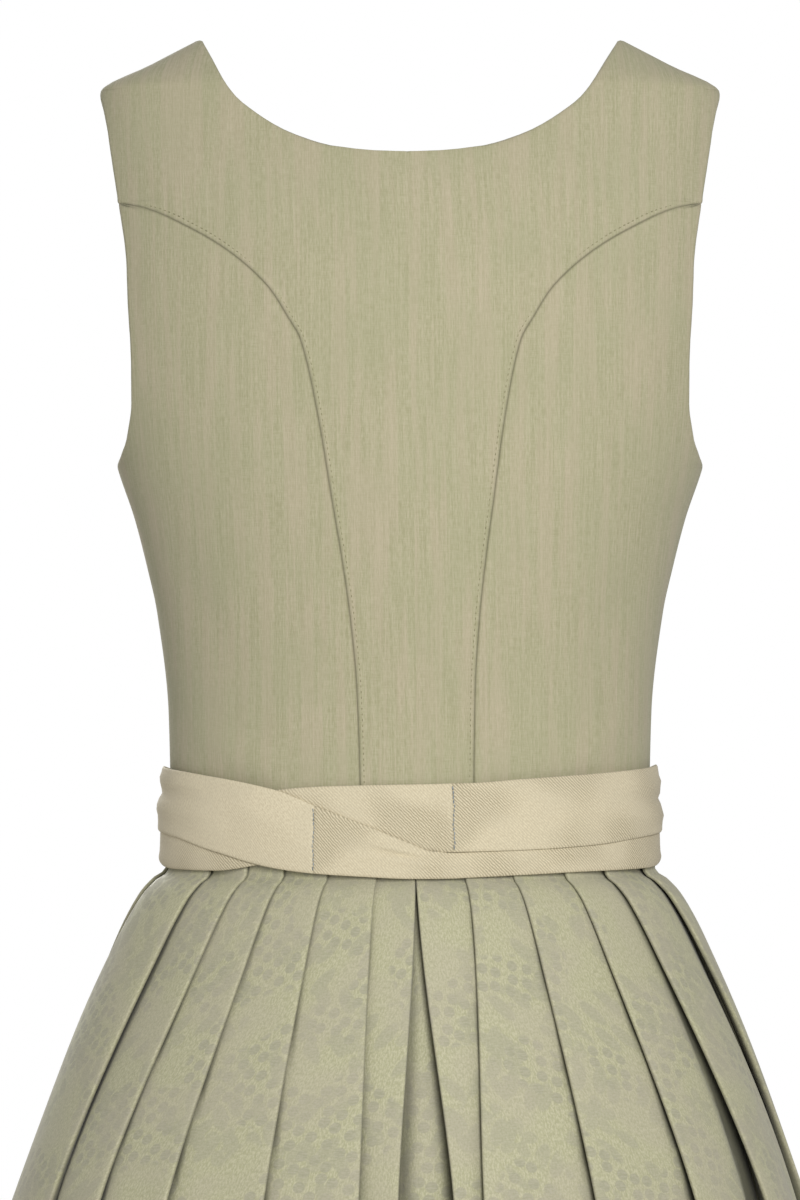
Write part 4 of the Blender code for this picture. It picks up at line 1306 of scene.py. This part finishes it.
# %% Skirt cloth
SKIRT_LEVELS = (
    levels_between(-456.0, WAIST_Z - 0.8, 2.6)[::-1] + levels_between(-490.0, -460.5, 5.0)[::-1]
    + levels_between(-700.0, -495.0, 9.0)[::-1]
    + levels_between(HEM_Z, -712.0, 13.0, near=(HEM_Z,), fine=(0.0, 1.2))[::-1]
)
SKIRT_FLAT_WIDTH = {"skirt_back": 1.02, "skirt_front": 1.28}


def laid_down(levels, middle):
    """How far down the cloth each level is, given how far out its middle lies at a height."""
    return [-length for length in running_lengths([(z, middle(z)) for z in levels])]


def skirt_cloth(name, first, last):
    rows, width = [], SKIRT_FLAT_WIDTH[name] / MM
    downs = laid_down(SKIRT_LEVELS, lambda z: (ring["half_width"](z) + ring["back"](z)) / 2)
    for z, down in zip(SKIRT_LEVELS, downs):
        spots = pleat_row(z, first, last)
        lengths = running_lengths(spots)
        rows.append([
            (Vector((spot.x, spot.y, z)), (width * length / lengths[-1], down), spot.z)
            for spot, length in zip(spots, lengths)
        ])
    print(name, "cloth length at the hem", round(lengths[-1]), "mm")
    return cloth(f"{name}_cloth", [rows], SKIRT_THICK, JACQUARD, from_axis)


skirts = {
    "skirt_back": skirt_cloth("skirt_back", 1, LAST_BACK - 1),
    "skirt_front": skirt_cloth("skirt_front", LAST_BACK + 1, LAST_BACK + FRONT_PLEAT_COUNT),
}

# %% [markdown]
# ## The apron's ties
# The apron's two ties go round the waist, cross at the middle of the back and come forward to the
# bow. Each is a doubled strip with turned edges. Where they cross they swap places: the left tie
# lies on top up to the middle, and the right one beyond it. Each is pieced with one joint, sewn in
# blue-grey thread, and both are creased where they are pulled tight.

# %% Band and tie tables
BAND_COLUMNS = ("z", "half_width", "back", "front")
BAND = ((-384.0, 133.8, 90.3, 98.0), (-417.0, 136.2, 92.2, 99.6), (-441.0, 137.2, 93.8, 100.9))
LAYER_STEP = 1.8
TIE_THICK = 1.1
BAND_TOP_Z, BAND_LOW_Z = -397.0, -433.0
BAND_FROM, BAND_TO = 192.0, 348.0
TIE_COLUMNS = ("angle", "low", "high", "layer")
LEFT_TIE = (
    (-54.0, -421.0, -401.0, 1.0), (-40.0, -427.0, -396.0, 1.0), (-20.0, -424.0, -389.0, 1.0),
    (0.0, -419.5, -385.0, 1.0), (20.0, -421.0, -386.0, 1.0), (40.0, -428.0, -389.0, 1.0),
    (58.0, -436.0, -395.0, 1.0), (68.0, -438.5, -403.0, 1.0), (80.0, -440.0, -413.2, 1.0),
    (90.0, -441.0, -422.8, 1.0), (95.0, -441.0, -427.0, 1.0), (99.0, -441.0, -427.2, 0.0),
    (104.0, -440.5, -426.7, 0.0), (116.0, -439.5, -421.0, 0.0), (135.0, -438.5, -411.0, 0.0),
    (160.0, -438.5, -404.0, 0.0), (191.0, -434.0, -398.0, 0.0),
)
RIGHT_TIE = (
    (-11.0, -434.0, -398.0, 0.0), (20.0, -439.0, -404.0, 0.0), (40.0, -438.5, -401.0, 0.0),
    (58.0, -433.0, -395.0, 0.0), (68.0, -430.0, -393.0, 0.0), (80.0, -427.2, -392.0, 0.0),
    (90.0, -426.7, -391.5, 0.0), (95.0, -426.7, -391.3, 0.0), (99.0, -426.9, -391.0, 1.0),
    (104.0, -426.7, -390.8, 1.0), (116.0, -426.2, -389.0, 1.0), (135.0, -424.5, -387.0, 1.0),
    (160.0, -421.0, -385.0, 1.0), (180.0, -420.0, -384.0, 1.0), (200.0, -424.0, -388.0, 1.0),
    (240.0, -430.0, -393.0, 1.0), (270.0, -428.0, -396.0, 1.0), (290.0, -422.0, -401.0, 1.0),
)
LEFT_TIE_SEAM, RIGHT_TIE_SEAM = 68.0, 99.5
band = smooth_table(BAND_COLUMNS, BAND)


def band_point(angle, z, out):
    return section_point(angle, measures(band, z), out, z)


# Creases of the ties, in the same columns, with x across the back in place of u.
OVER_CREASES = (
    (8.0, -427.9, 25.0, 1.5, 11.0, -2.4),
    (10.0, -424.8, 24.0, 2.2, 12.0, 1.6),
    (4.0, -431.5, 26.0, 2.2, 8.0, 1.1),
    (92.0, -402.0, 42.0, 3.2, -11.0, 0.7),
    (104.0, -396.0, 34.0, 2.4, -14.0, -0.7),
    (132.0, -398.5, 34.0, 2.2, 4.0, -2.2),
    (132.0, -391.0, 26.0, 2.2, 0.0, 1.2),
    (132.0, -407.0, 34.0, 3.4, 4.0, 1.6),
    (70.0, -415.0, 36.0, 3.4, -16.0, -0.5),
    (-110.0, -421.0, 44.0, 1.8, 12.0, -0.9),
    (-92.0, -417.5, 48.0, 2.6, 9.0, 0.7),
    (-60.0, -424.0, 30.0, 1.6, -2.0, -0.5),
    (-132.0, -402.0, 30.0, 2.2, 5.0, -2.0),
    (-132.0, -393.0, 30.0, 2.6, 0.0, 1.3),
    (-132.0, -411.0, 34.0, 3.0, 4.0, 1.4),
    (-70.0, -400.0, 44.0, 4.2, -6.0, 0.45),
    (-30.0, -396.0, 26.0, 3.0, 6.0, -0.4),
)
UNDER_CREASES = (
    (-58.0, -437.0, 30.0, 1.2, -26.0, -1.2),
    (-70.0, -434.0, 34.0, 2.2, -18.0, 0.6),
    (-120.0, -431.0, 30.0, 2.2, 4.0, -0.9),
    (-130.0, -433.0, 30.0, 2.4, 2.0, 1.6),
    (118.0, -432.0, 40.0, 2.2, -10.0, -0.9),
    (130.0, -434.0, 30.0, 2.6, -4.0, 1.7),
    (24.0, -434.0, 40.0, 3.0, 3.0, 0.5),
    (44.0, -408.0, 24.0, 3.0, -12.0, -0.4),
)
print("ties from", LEFT_TIE[0][0], "to", RIGHT_TIE[-1][0], "degrees")

# %% Ties and waistband
TIE_STEP_DEG = 1.3
TIE_EDGE_STEPS = (0.0, 0.35, 0.8, 1.4, 2.4)
TIE_SPREAD = 9
TURNED_REACH, TURNED_DROP, SWELL = 1.2, 0.55, 0.35
JOINT_REACH, JOINT_DROP, JOINT_STEPS = 1.1, 0.6, (0.2, 0.45, 0.8)
OVER_SHARE, UNDER_SHARE, CREASES_FROM_Y = 0.8, 0.55, -20.0
FAR_AWAY = 99.0


def across_strip(low, high):
    far = [high - step for step in reversed(TIE_EDGE_STEPS)]
    near = [low + step for step in TIE_EDGE_STEPS]
    step = (far[0] - near[-1]) / (TIE_SPREAD + 1)
    return near + [near[-1] + step * i for i in range(1, TIE_SPREAD + 1)] + far


def strip_relief(z, low, high, ends):
    """Turned edges, a soft swell between them, and a drawn-in joint at a sewn end."""
    gap = min(z - low, high - z)
    out = -TURNED_DROP * max(1 - gap / TURNED_REACH, 0.0) ** 2
    out += SWELL * math.sin(math.pi * (z - low) / (high - low))
    return out - JOINT_DROP * max(1 - ends / JOINT_REACH, 0.0) ** 2


def strip(name, edges, start, end, sewn, material):
    """A strip round the waist: edges gives low, high and layer, sewn the angles of sewn ends."""
    count = math.ceil((end - start) / TIE_STEP_DEG)
    angles = {start + (end - start) * i / count for i in range(count + 1)}
    angles |= {joint + sign * near for joint in sewn for near in JOINT_STEPS for sign in (-1, 1)}
    angles = sorted(angle for angle in angles if start <= angle <= end)
    sides = [[edges[name](angle) for name in TIE_COLUMNS[1:]] for angle in angles]
    middles = [
        band_point(angle, (low + high) / 2, 0.0) for angle, (low, high, _) in zip(angles, sides)
    ]
    lengths, rows = running_lengths(middles), []
    for angle, (low, high, layer), middle, length in zip(angles, sides, middles, lengths):
        half_width = band["half_width"](low)
        joints = [abs(math.radians(angle - joint)) * half_width for joint in sewn]
        to_joint = min(joints or [FAR_AWAY])
        table, share = (OVER_CREASES, OVER_SHARE) if layer > 0.5 else (UNDER_CREASES, UNDER_SHARE)
        row = []
        for z in across_strip(low, high):
            out = layer * LAYER_STEP + strip_relief(z, low, high, to_joint)
            if middle.y > CREASES_FROM_Y:
                out += crease(middle.x, z, table) * share
            row.append((band_point(angle, z, out), (length, z - low)))
        rows.append(row)
    return cloth(name, [rows], TIE_THICK, material, from_axis)


ties = {}
sewn_gap = math.degrees(SEAM_INSET / band["half_width"](BAND_LOW_Z))
for side, table, joint, words, materials in (
    ("left", LEFT_TIE, LEFT_TIE_SEAM, ("over", "under"), (SMOOTH_TWILL, TWILL)),
    ("right", RIGHT_TIE, RIGHT_TIE_SEAM, ("under", "over"), (TWILL, TWILL)),
):
    edges = smooth_table(TIE_COLUMNS, table)
    ends = ((table[0][0], joint - sewn_gap), (joint + sewn_gap, table[-1][0]))
    for word, material, (start, end) in zip(words, materials, ends):
        node = f"tie_{side}_{word}"
        ties[node] = strip(f"{node}_cloth", edges, start, end, [joint], material)
level = {"low": lambda _: BAND_LOW_Z, "high": lambda _: BAND_TOP_Z, "layer": lambda _: 0.0}
ties["apron_waistband"] = strip("apron_waistband_cloth", level, BAND_FROM, BAND_TO, [], TWILL)

# %% Joint stitches
JOINT_PITCH, JOINT_LOW_GAP, JOINT_HIGH_GAP, JOINT_RISE = 2.3, 1.2, 1.0, 0.1


def joint_spots(table, angle):
    edges = measures(smooth_table(TIE_COLUMNS, table), angle)
    low, high = edges["low"] + JOINT_LOW_GAP, edges["high"] - JOINT_HIGH_GAP
    out = edges["layer"] * LAYER_STEP + TIE_THICK / 2 + JOINT_RISE
    count = int((high - low) / JOINT_PITCH)
    spots = []
    for i in range(count):
        z = low + (i + 0.5) * (high - low) / count
        bend = 0.13 * math.sin(0.9 * i) + 0.08 * math.sin(2.3 * i)
        along = Vector((0.12 * math.cos(0.9 * i), 0.0, 1.0))
        normal = from_axis(band_point(angle, z, 0.0))
        spots.append((band_point(angle + bend, z, out), along, normal))
    return spots


joint_stitches = {}
for side, table, angle, long, thick in (
    ("left", LEFT_TIE, LEFT_TIE_SEAM, 2.6, 0.6),
    ("right", RIGHT_TIE, RIGHT_TIE_SEAM + 0.2, 2.7, 0.8),
):
    sewn = stitches(f"{side}_tie_joint", joint_spots(table, angle), long, thick, GREY_THREAD)
    joint_stitches[f"tie_{side}_over"] = sewn

# %% [markdown]
# ## The apron
# The apron is one gathered width over the front of the skirt. Small gathers start at the waistband
# and join into fewer, deeper folds lower down. It stands clear of the pleats below it.

# %% Apron
APRON_HEM_Z = -1062.0
APRON_THICK = 0.9
APRON_COLUMNS = ("z", "side", "stand", "wave")
APRON = (
    (BAND_LOW_Z - 0.5, 60.0, 1.9, 0.0), (-441.6, 60.0, 1.9, 0.0),
    (-445.5, 60.0, 2.0, 0.2), (-455.0, 60.0, 2.2, 0.6),
    (-490.0, 59.0, 2.4, 1.6), (-560.0, 58.0, 2.6, 2.6), (-660.0, 57.0, 2.8, 3.6),
    (-830.0, 56.0, 3.2, 5.5), (APRON_HEM_Z, 55.0, 5.0, 7.0),
)
APRON_WAVES, APRON_GATHERS = 9, 31
APRON_ACROSS = 150
APRON_MEET_Z = -442.0  # where the apron comes out from under its band
GATHER, GATHER_FROM_Z, GATHER_TO_Z = 0.5, (-436.0, -450.0), (-500.0, -640.0)
BAND_CLEAR, BAND_BLEND_Z = 1.9, -490.0
BAND_HEM_Z = BAND[-1][0]
apron_shape = smooth_table(APRON_COLUMNS, APRON)
APRON_LEVELS = levels_between(-500.0, BAND_LOW_Z - 0.5, 5.0)[::-1]
APRON_LEVELS += levels_between(APRON_HEM_Z, -508.0, 10.0)[::-1]
band_room = band["half_width"](BAND_HEM_Z) - BAND_CLEAR
band_room -= ring["half_width"](APRON_MEET_Z) + ring["out"](APRON_MEET_Z)


def ripples(count, share):
    """0 to 2, up and down that many times across."""
    return 1 - math.cos(2 * math.pi * count * share)


def apron_row(z):
    size, shape = measures(ring, z), measures(apron_shape, z)
    base = size["out"] + shape["stand"]
    base += band_room * (1 - smooth_step(APRON_MEET_Z, BAND_BLEND_Z, z))
    gather = GATHER * smooth_step(*GATHER_FROM_Z, z) * (1 - smooth_step(*GATHER_TO_Z, z))
    spots = []
    for i in range(APRON_ACROSS + 1):
        share = i / APRON_ACROSS
        bent = share + 0.012 * math.sin(9.0 * share + z / 150.0) + 0.008 * math.sin(23.0 * share)
        swing = shape["wave"] * 0.5 * ripples(APRON_WAVES, bent)
        swing += gather * ripples(APRON_GATHERS, bent + 0.006 * math.sin(40.0 * share))
        angle = 270.0 + shape["side"] * (2 * share - 1)
        spots.append(section_point(angle, size, base + swing, z))
    return spots


rows = []
for z, down in zip(APRON_LEVELS, laid_down(APRON_LEVELS, ring["front"])):
    spots = apron_row(z)
    lengths = running_lengths(spots)
    rows.append([
        (spot, (length - lengths[-1] / 2, down)) for spot, length in zip(spots, lengths)
    ])
print("apron hem", round(lengths[-1]), "mm round, length", round(-down), "mm")
apron = cloth("apron_cloth", [rows], APRON_THICK, SMOOTH_TWILL, from_axis)

# %% [markdown]
# ## The bow
# The ties end in a bow on the left of the front, as they are worn. Two loops come out of a knot,
# and two ends hang from it. The knot is the tie wrapped round once, so it is a short band bent
# round an oval, with its folds running the way it is pulled.

# %% Bow frame and knot
BOW_ANGLE, BOW_Z = 293.0, -411.0
KNOT_WIDTH, KNOT_DEPTH, KNOT_HEIGHT = 24.0, 15.0, 25.0
LOOP_LENGTH, LOOP_DEPTH, LOOP_HEIGHT, LOOP_DROOP = 58.0, 24.0, 34.0, 20.0
TAIL_LENGTH, TAIL_WIDTH = 300.0, 36.0
KNOT_AROUND, KNOT_ACROSS = 40, 16
UP = Vector((0, 0, 1))
bow_middle = band_point(BOW_ANGLE, BOW_Z, LAYER_STEP + TIE_THICK / 2)
bow_out = (bow_middle - band_point(BOW_ANGLE, BOW_Z, 0.0)).normalized()
bow_side = UP.cross(bow_out)


def knot_rows():
    rows = []
    for i in range(KNOT_AROUND + 1):
        turn = 2 * math.pi * i / KNOT_AROUND
        row = []
        for j in range(KNOT_ACROSS + 1):
            share = j / KNOT_ACROSS * 2 - 1
            folded = 1 - math.cos(5 * math.pi * share + math.sin(turn))
            full = 1 - 0.30 * abs(share) ** 4 - 0.02 * folded
            corner = [math.copysign(abs(f(turn)) ** 0.72, f(turn)) for f in (math.cos, math.sin)]
            depth = (KNOT_DEPTH / 2 - 0.8) * corner[0] * full
            height = (KNOT_HEIGHT / 2 - 0.8) * corner[1] * full
            side = share * (KNOT_WIDTH / 2 - 0.6) * (1 - 0.10 * abs(math.sin(turn)))
            place = bow_middle + bow_out * (KNOT_DEPTH / 2 + 0.4 + depth)
            place += bow_side * side + UP * height
            row.append((place, (side, turn * KNOT_HEIGHT / 3)))
        rows.append(row)
    return rows


knot_centre = bow_middle + bow_out * KNOT_DEPTH / 2
bow = {"bow_knot": cloth(
    "bow_knot_cloth", [knot_rows()], TIE_THICK, SMOOTH_TWILL, lambda place: place - knot_centre * MM
)}

# %% Loops
LOOP_ALONG, LOOP_ACROSS = 48, 10
LOOP_ROUND, LOOP_GAP, LOOP_SLIM, LOOP_TWIST, LOOP_LIFT = 0.8, 0.9, 0.9, -2.6, 0.28
LOOP_OFF, LOOP_CLEAR = 1.2, 0.7
PUCKER, HOLLOW, END_BOW = 0.9, 0.6, 1.2


def loop_line():
    """The loop's middle line, out and back: its (reach, along, depth) places."""
    line = []
    for i in range(LOOP_ALONG + 1):
        share = i / LOOP_ALONG
        reach = math.sin(math.pi * share) ** LOOP_ROUND
        along = KNOT_WIDTH / 2 + LOOP_GAP + LOOP_LENGTH * reach
        depth = (KNOT_DEPTH - LOOP_DEPTH * math.sin(2 * math.pi * share) * LOOP_SLIM) / 2
        depth += (0.5 - share) * LOOP_TWIST + LOOP_DEPTH * LOOP_LIFT * reach
        depth = max(depth, 0.0) + LOOP_OFF
        line.append((reach, along, depth))
    return line


def loop_rows(sign):
    rows, line = [], loop_line()
    for (reach, along, depth), length in zip(line, running_lengths([place[1:] for place in line])):
        half = LOOP_HEIGHT / 2 * (0.5 + 0.5 * reach)
        row = []
        for j in range(LOOP_ACROSS + 1):
            h = j / LOOP_ACROSS * 2 - 1
            pucker = PUCKER * (1 - reach) * math.cos(2.5 * math.pi * h)
            pucker += HOLLOW * reach * math.cos(math.pi * h / 2)
            place = bow_middle + bow_side * sign * (along - END_BOW * reach * h * h)
            place += bow_out * max(depth + pucker, LOOP_CLEAR)
            place += UP * (h * half - LOOP_DROOP * reach)
            row.append((place, (length, h * LOOP_HEIGHT / 2)))
        rows.append(row)
    return rows


for node, sign in (("bow_loop_left", 1), ("bow_loop_right", -1)):
    heart = bow_middle + bow_side * sign * (KNOT_WIDTH + LOOP_LENGTH) / 2 + bow_out * LOOP_DEPTH / 2
    bow[node] = cloth(
        f"{node}_cloth", [loop_rows(sign)], TIE_THICK, SMOOTH_TWILL,
        lambda place: place - heart * MM,
    )

# %% Tails
TAIL_ALONG, TAIL_ACROSS = 50, 12
TAIL_TOP_Z = BOW_Z - KNOT_HEIGHT / 2 - 0.4
TAIL_PINCH, TAIL_OPEN = 0.45, 0.3  # its width's share at the knot, and where it is full
TAIL_CLEAR, TAIL_FAR, TAIL_FAR_Z, TAIL_DROP_Z = 2.2, 9.0, -700.0, -480.0


def tail_rows(lean, stand):
    rows = []
    band_out = band["half_width"](BAND_HEM_Z) + LAYER_STEP + 1.5
    for i in range(TAIL_ALONG + 1):
        share = i / TAIL_ALONG
        z = TAIL_TOP_Z - TAIL_LENGTH * share
        shift = lean * (3.0 * share + 0.35)
        half = TAIL_WIDTH / 2 * (TAIL_PINCH + (1 - TAIL_PINCH) * smooth_step(0.0, TAIL_OPEN, share))
        size = measures(ring, z)
        clear = size["out"] + TAIL_CLEAR + TAIL_FAR * smooth_step(BAND_HEM_Z, TAIL_FAR_Z, z)
        room = max(band_out - size["half_width"] - clear, 0.0)
        clear += room * (1 - smooth_step(BAND_HEM_Z, TAIL_DROP_Z, z)) + stand
        row = []
        for j in range(TAIL_ACROSS + 1):
            h = j / TAIL_ACROSS * 2 - 1
            fold = 0.8 * math.cos(2 * math.pi * h + 2.0 * share) * (0.4 + share)
            fold += 0.5 * math.sin(9 * share + h)
            aside = degrees_for(shift + h * half, BOW_ANGLE, size["half_width"], size["front"])
            spot = section_point(BOW_ANGLE + aside, size, clear + fold, z)
            row.append((spot, (h * half, TAIL_LENGTH * share)))
        rows.append(row)
    return rows


for node, lean, stand in (("bow_tail_left", 16.0, 3.8), ("bow_tail_right", -10.0, 6.2)):
    bow[node] = cloth(f"{node}_cloth", [tail_rows(lean, stand)], TIE_THICK, SMOOTH_TWILL, from_axis)

# %% [markdown]
# ## Horn buttons
# Seven round horn buttons close the front. A button is turned, so its half outline is spun once
# round. It has a raised rim and a dished face, and a crossed thread sews it on.

# %% Buttons
BUTTON_COUNT, BUTTON_TOP_Z, BUTTON_PITCH = 7, -178.0, 32.0
BUTTON_SHANK, BUTTON_THICK = 1.0, 3.2
THREAD_LONG, THREAD_THICK, THREAD_OUT = 4.2, 0.8, 0.95
BUTTON_OUTLINE = (
    (0.0, 0.7), (3.4, 0.75), (4.0, 1.35), (4.7, 1.6), (5.4, 1.5), (5.9, 0.9), (6.0, 0.0),
    (5.8, -0.9), (5.0, -1.45), (3.0, -1.6), (0.0, -1.6),
)
BUTTON_TURNS = 40


def spun_button(mesh, place, frame_matrix):
    ends = [mesh.verts.new((radius, 0.0, height)) for radius, height in BUTTON_OUTLINE]
    lines = [mesh.edges.new(pair) for pair in zip(ends, ends[1:])]
    bmesh.ops.spin(
        mesh, geom=ends + lines, axis=(0, 0, 1), cent=(0, 0, 0), angle=2 * math.pi,
        steps=BUTTON_TURNS, use_merge=True,
    )
    bmesh.ops.remove_doubles(mesh, verts=mesh.verts, dist=0.01)
    bmesh.ops.recalc_face_normals(mesh, faces=mesh.faces)
    bmesh.ops.transform(mesh, verts=mesh.verts, matrix=Matrix.Translation(place) @ frame_matrix)
    bmesh.ops.scale(mesh, verts=mesh.verts, vec=(MM, MM, MM))


buttons, button_threads = {}, {}
for k in range(BUTTON_COUNT):
    z = BUTTON_TOP_Z - k * BUTTON_PITCH
    outward = figure_normal(270.0, z)
    place = figure_point(270.0, z)
    place += outward * (BODICE_THICK / 2 + OVERLAP_OUT + BUTTON_SHANK + BUTTON_THICK / 2)
    turned = outward.to_track_quat("Z", "Y").to_matrix().to_4x4()
    mesh = bmesh.new()
    spun_button(mesh, place, turned)
    node = f"button_{k + 1}"
    buttons[node] = finished(f"{node}_turned", mesh, HORN)
    spots = []
    for sign in (-1, 1):
        along = turned.to_3x3() @ Vector((1.0, sign, 0.0)).normalized()
        spots.append((place + outward * THREAD_OUT, along, outward))
    button_threads[node] = stitches(f"{node}_thread", spots, THREAD_LONG, THREAD_THICK, SAGE_THREAD)
print("buttons", len(buttons))

# %% [markdown]
# ## What each piece stands for
# Every piece rides on the one body of the dress, and each cloth and button replaces its plain
# solid, while stitches only lie on the cloth. A table gives each cloth piece's size as it was cut.
# A cut that is no rectangle also gives the share of its rectangle that it fills.

# %% Cut sizes
# Node, width and length in metres, share of that rectangle, how it is held and what it rests on.
# A tie's width is its finished one, because a doubled strip shows half of its cut.
SHEETS = (
    ("back", 0.31, 0.47, 0.42, "stretched", ("side_back_left", "side_back_right")),
    ("side_back_left", 0.165, 0.32, 0.84, "stretched", ("back",)),
    ("side_back_right", 0.165, 0.32, 0.85, "stretched", ("back",)),
    ("front_left", 0.16, 0.46, 0.46, "stretched", ("side_front_left",)),
    ("front_right", 0.16, 0.46, 0.46, "stretched", ("side_front_right",)),
    ("side_front_left", 0.13, 0.31, 0.80, "stretched", ("front_left",)),
    ("side_front_right", 0.13, 0.31, 0.78, "stretched", ("front_right",)),
    ("skirt_back", 1.15, 0.72, 1.0, "gathered", ("back", "side_back_left", "side_back_right")),
    ("skirt_front", 1.35, 0.72, 1.0, "gathered", ("front_left", "front_right")),
    ("apron", 0.54, 0.64, 1.0, "gathered", ("skirt_front", "apron_waistband")),
    ("apron_waistband", 0.335, 0.036, 1.0, "stretched", ("front_left", "front_right")),
    ("tie_left_over", 0.25, 0.036, 1.0, "stretched", ("tie_right_under",)),
    ("tie_left_under", 0.25, 0.033, 1.0, "stretched", ("skirt_back",)),
    ("tie_right_under", 0.24, 0.036, 1.0, "stretched", ("skirt_back",)),
    ("tie_right_over", 0.39, 0.037, 1.0, "stretched", ("tie_left_under",)),
    ("bow_knot", 0.05, 0.03, 1.0, "folded", ("tie_right_over",)),
    ("bow_loop_left", 0.11, 0.034, 1.0, "folded", ("bow_knot",)),
    ("bow_loop_right", 0.11, 0.034, 1.0, "folded", ("bow_knot",)),
    ("bow_tail_left", 0.32, 0.036, 1.0, "hung", ("bow_knot",)),
    ("bow_tail_right", 0.32, 0.036, 1.0, "hung", ("bow_knot",)),
)
SEWN_ON = {
    "back": ("back_left", "back_right"),
    "front_left": ("front_left",),
    "front_right": ("front_right",),
}
slots = {
    "bodice_linen": panels, "skirt_jacquard": skirts, "button_horn": buttons,
    "apron_twill": {**ties, "apron": apron, **bow},
}

# %% Ride and replace
for slot, made in slots.items():
    for node, piece in made.items():
        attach(piece, "root")
        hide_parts(node)
for thread in [*seam_stitches.values(), *joint_stitches.values(), *button_threads.values()]:
    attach(thread, "root")
for node, width, length, share, held, rests_on in SHEETS:
    threads = [seam_stitches[line] for line in SEWN_ON.get(node, ())]
    threads += [thread for place, thread in joint_stitches.items() if place == node]

# %% Floor
FLOOR_Z, FLOOR_RADIUS = -1.42, 1.6
mesh = bmesh.new()
bmesh.ops.create_circle(mesh, cap_ends=True, segments=96, radius=FLOOR_RADIUS)
bmesh.ops.translate(mesh, verts=mesh.verts, vec=(0.0, 0.0, FLOOR_Z))
plaster = bpy.data.materials.new("pale_floor")
plaster.use_nodes = True
tree = plaster.node_tree
speckle = feed(tree, add(tree, "ShaderNodeTexNoise"), {"Scale": 3.0, "Detail": 3.0})
tone = blend_colour(tree, speckle.outputs["Fac"], (0.72, 0.71, 0.69), (0.80, 0.79, 0.77))
tree.links.new(tone, tree.nodes["Principled BSDF"].inputs["Base Color"])
floor = finished("floor", mesh, plaster)
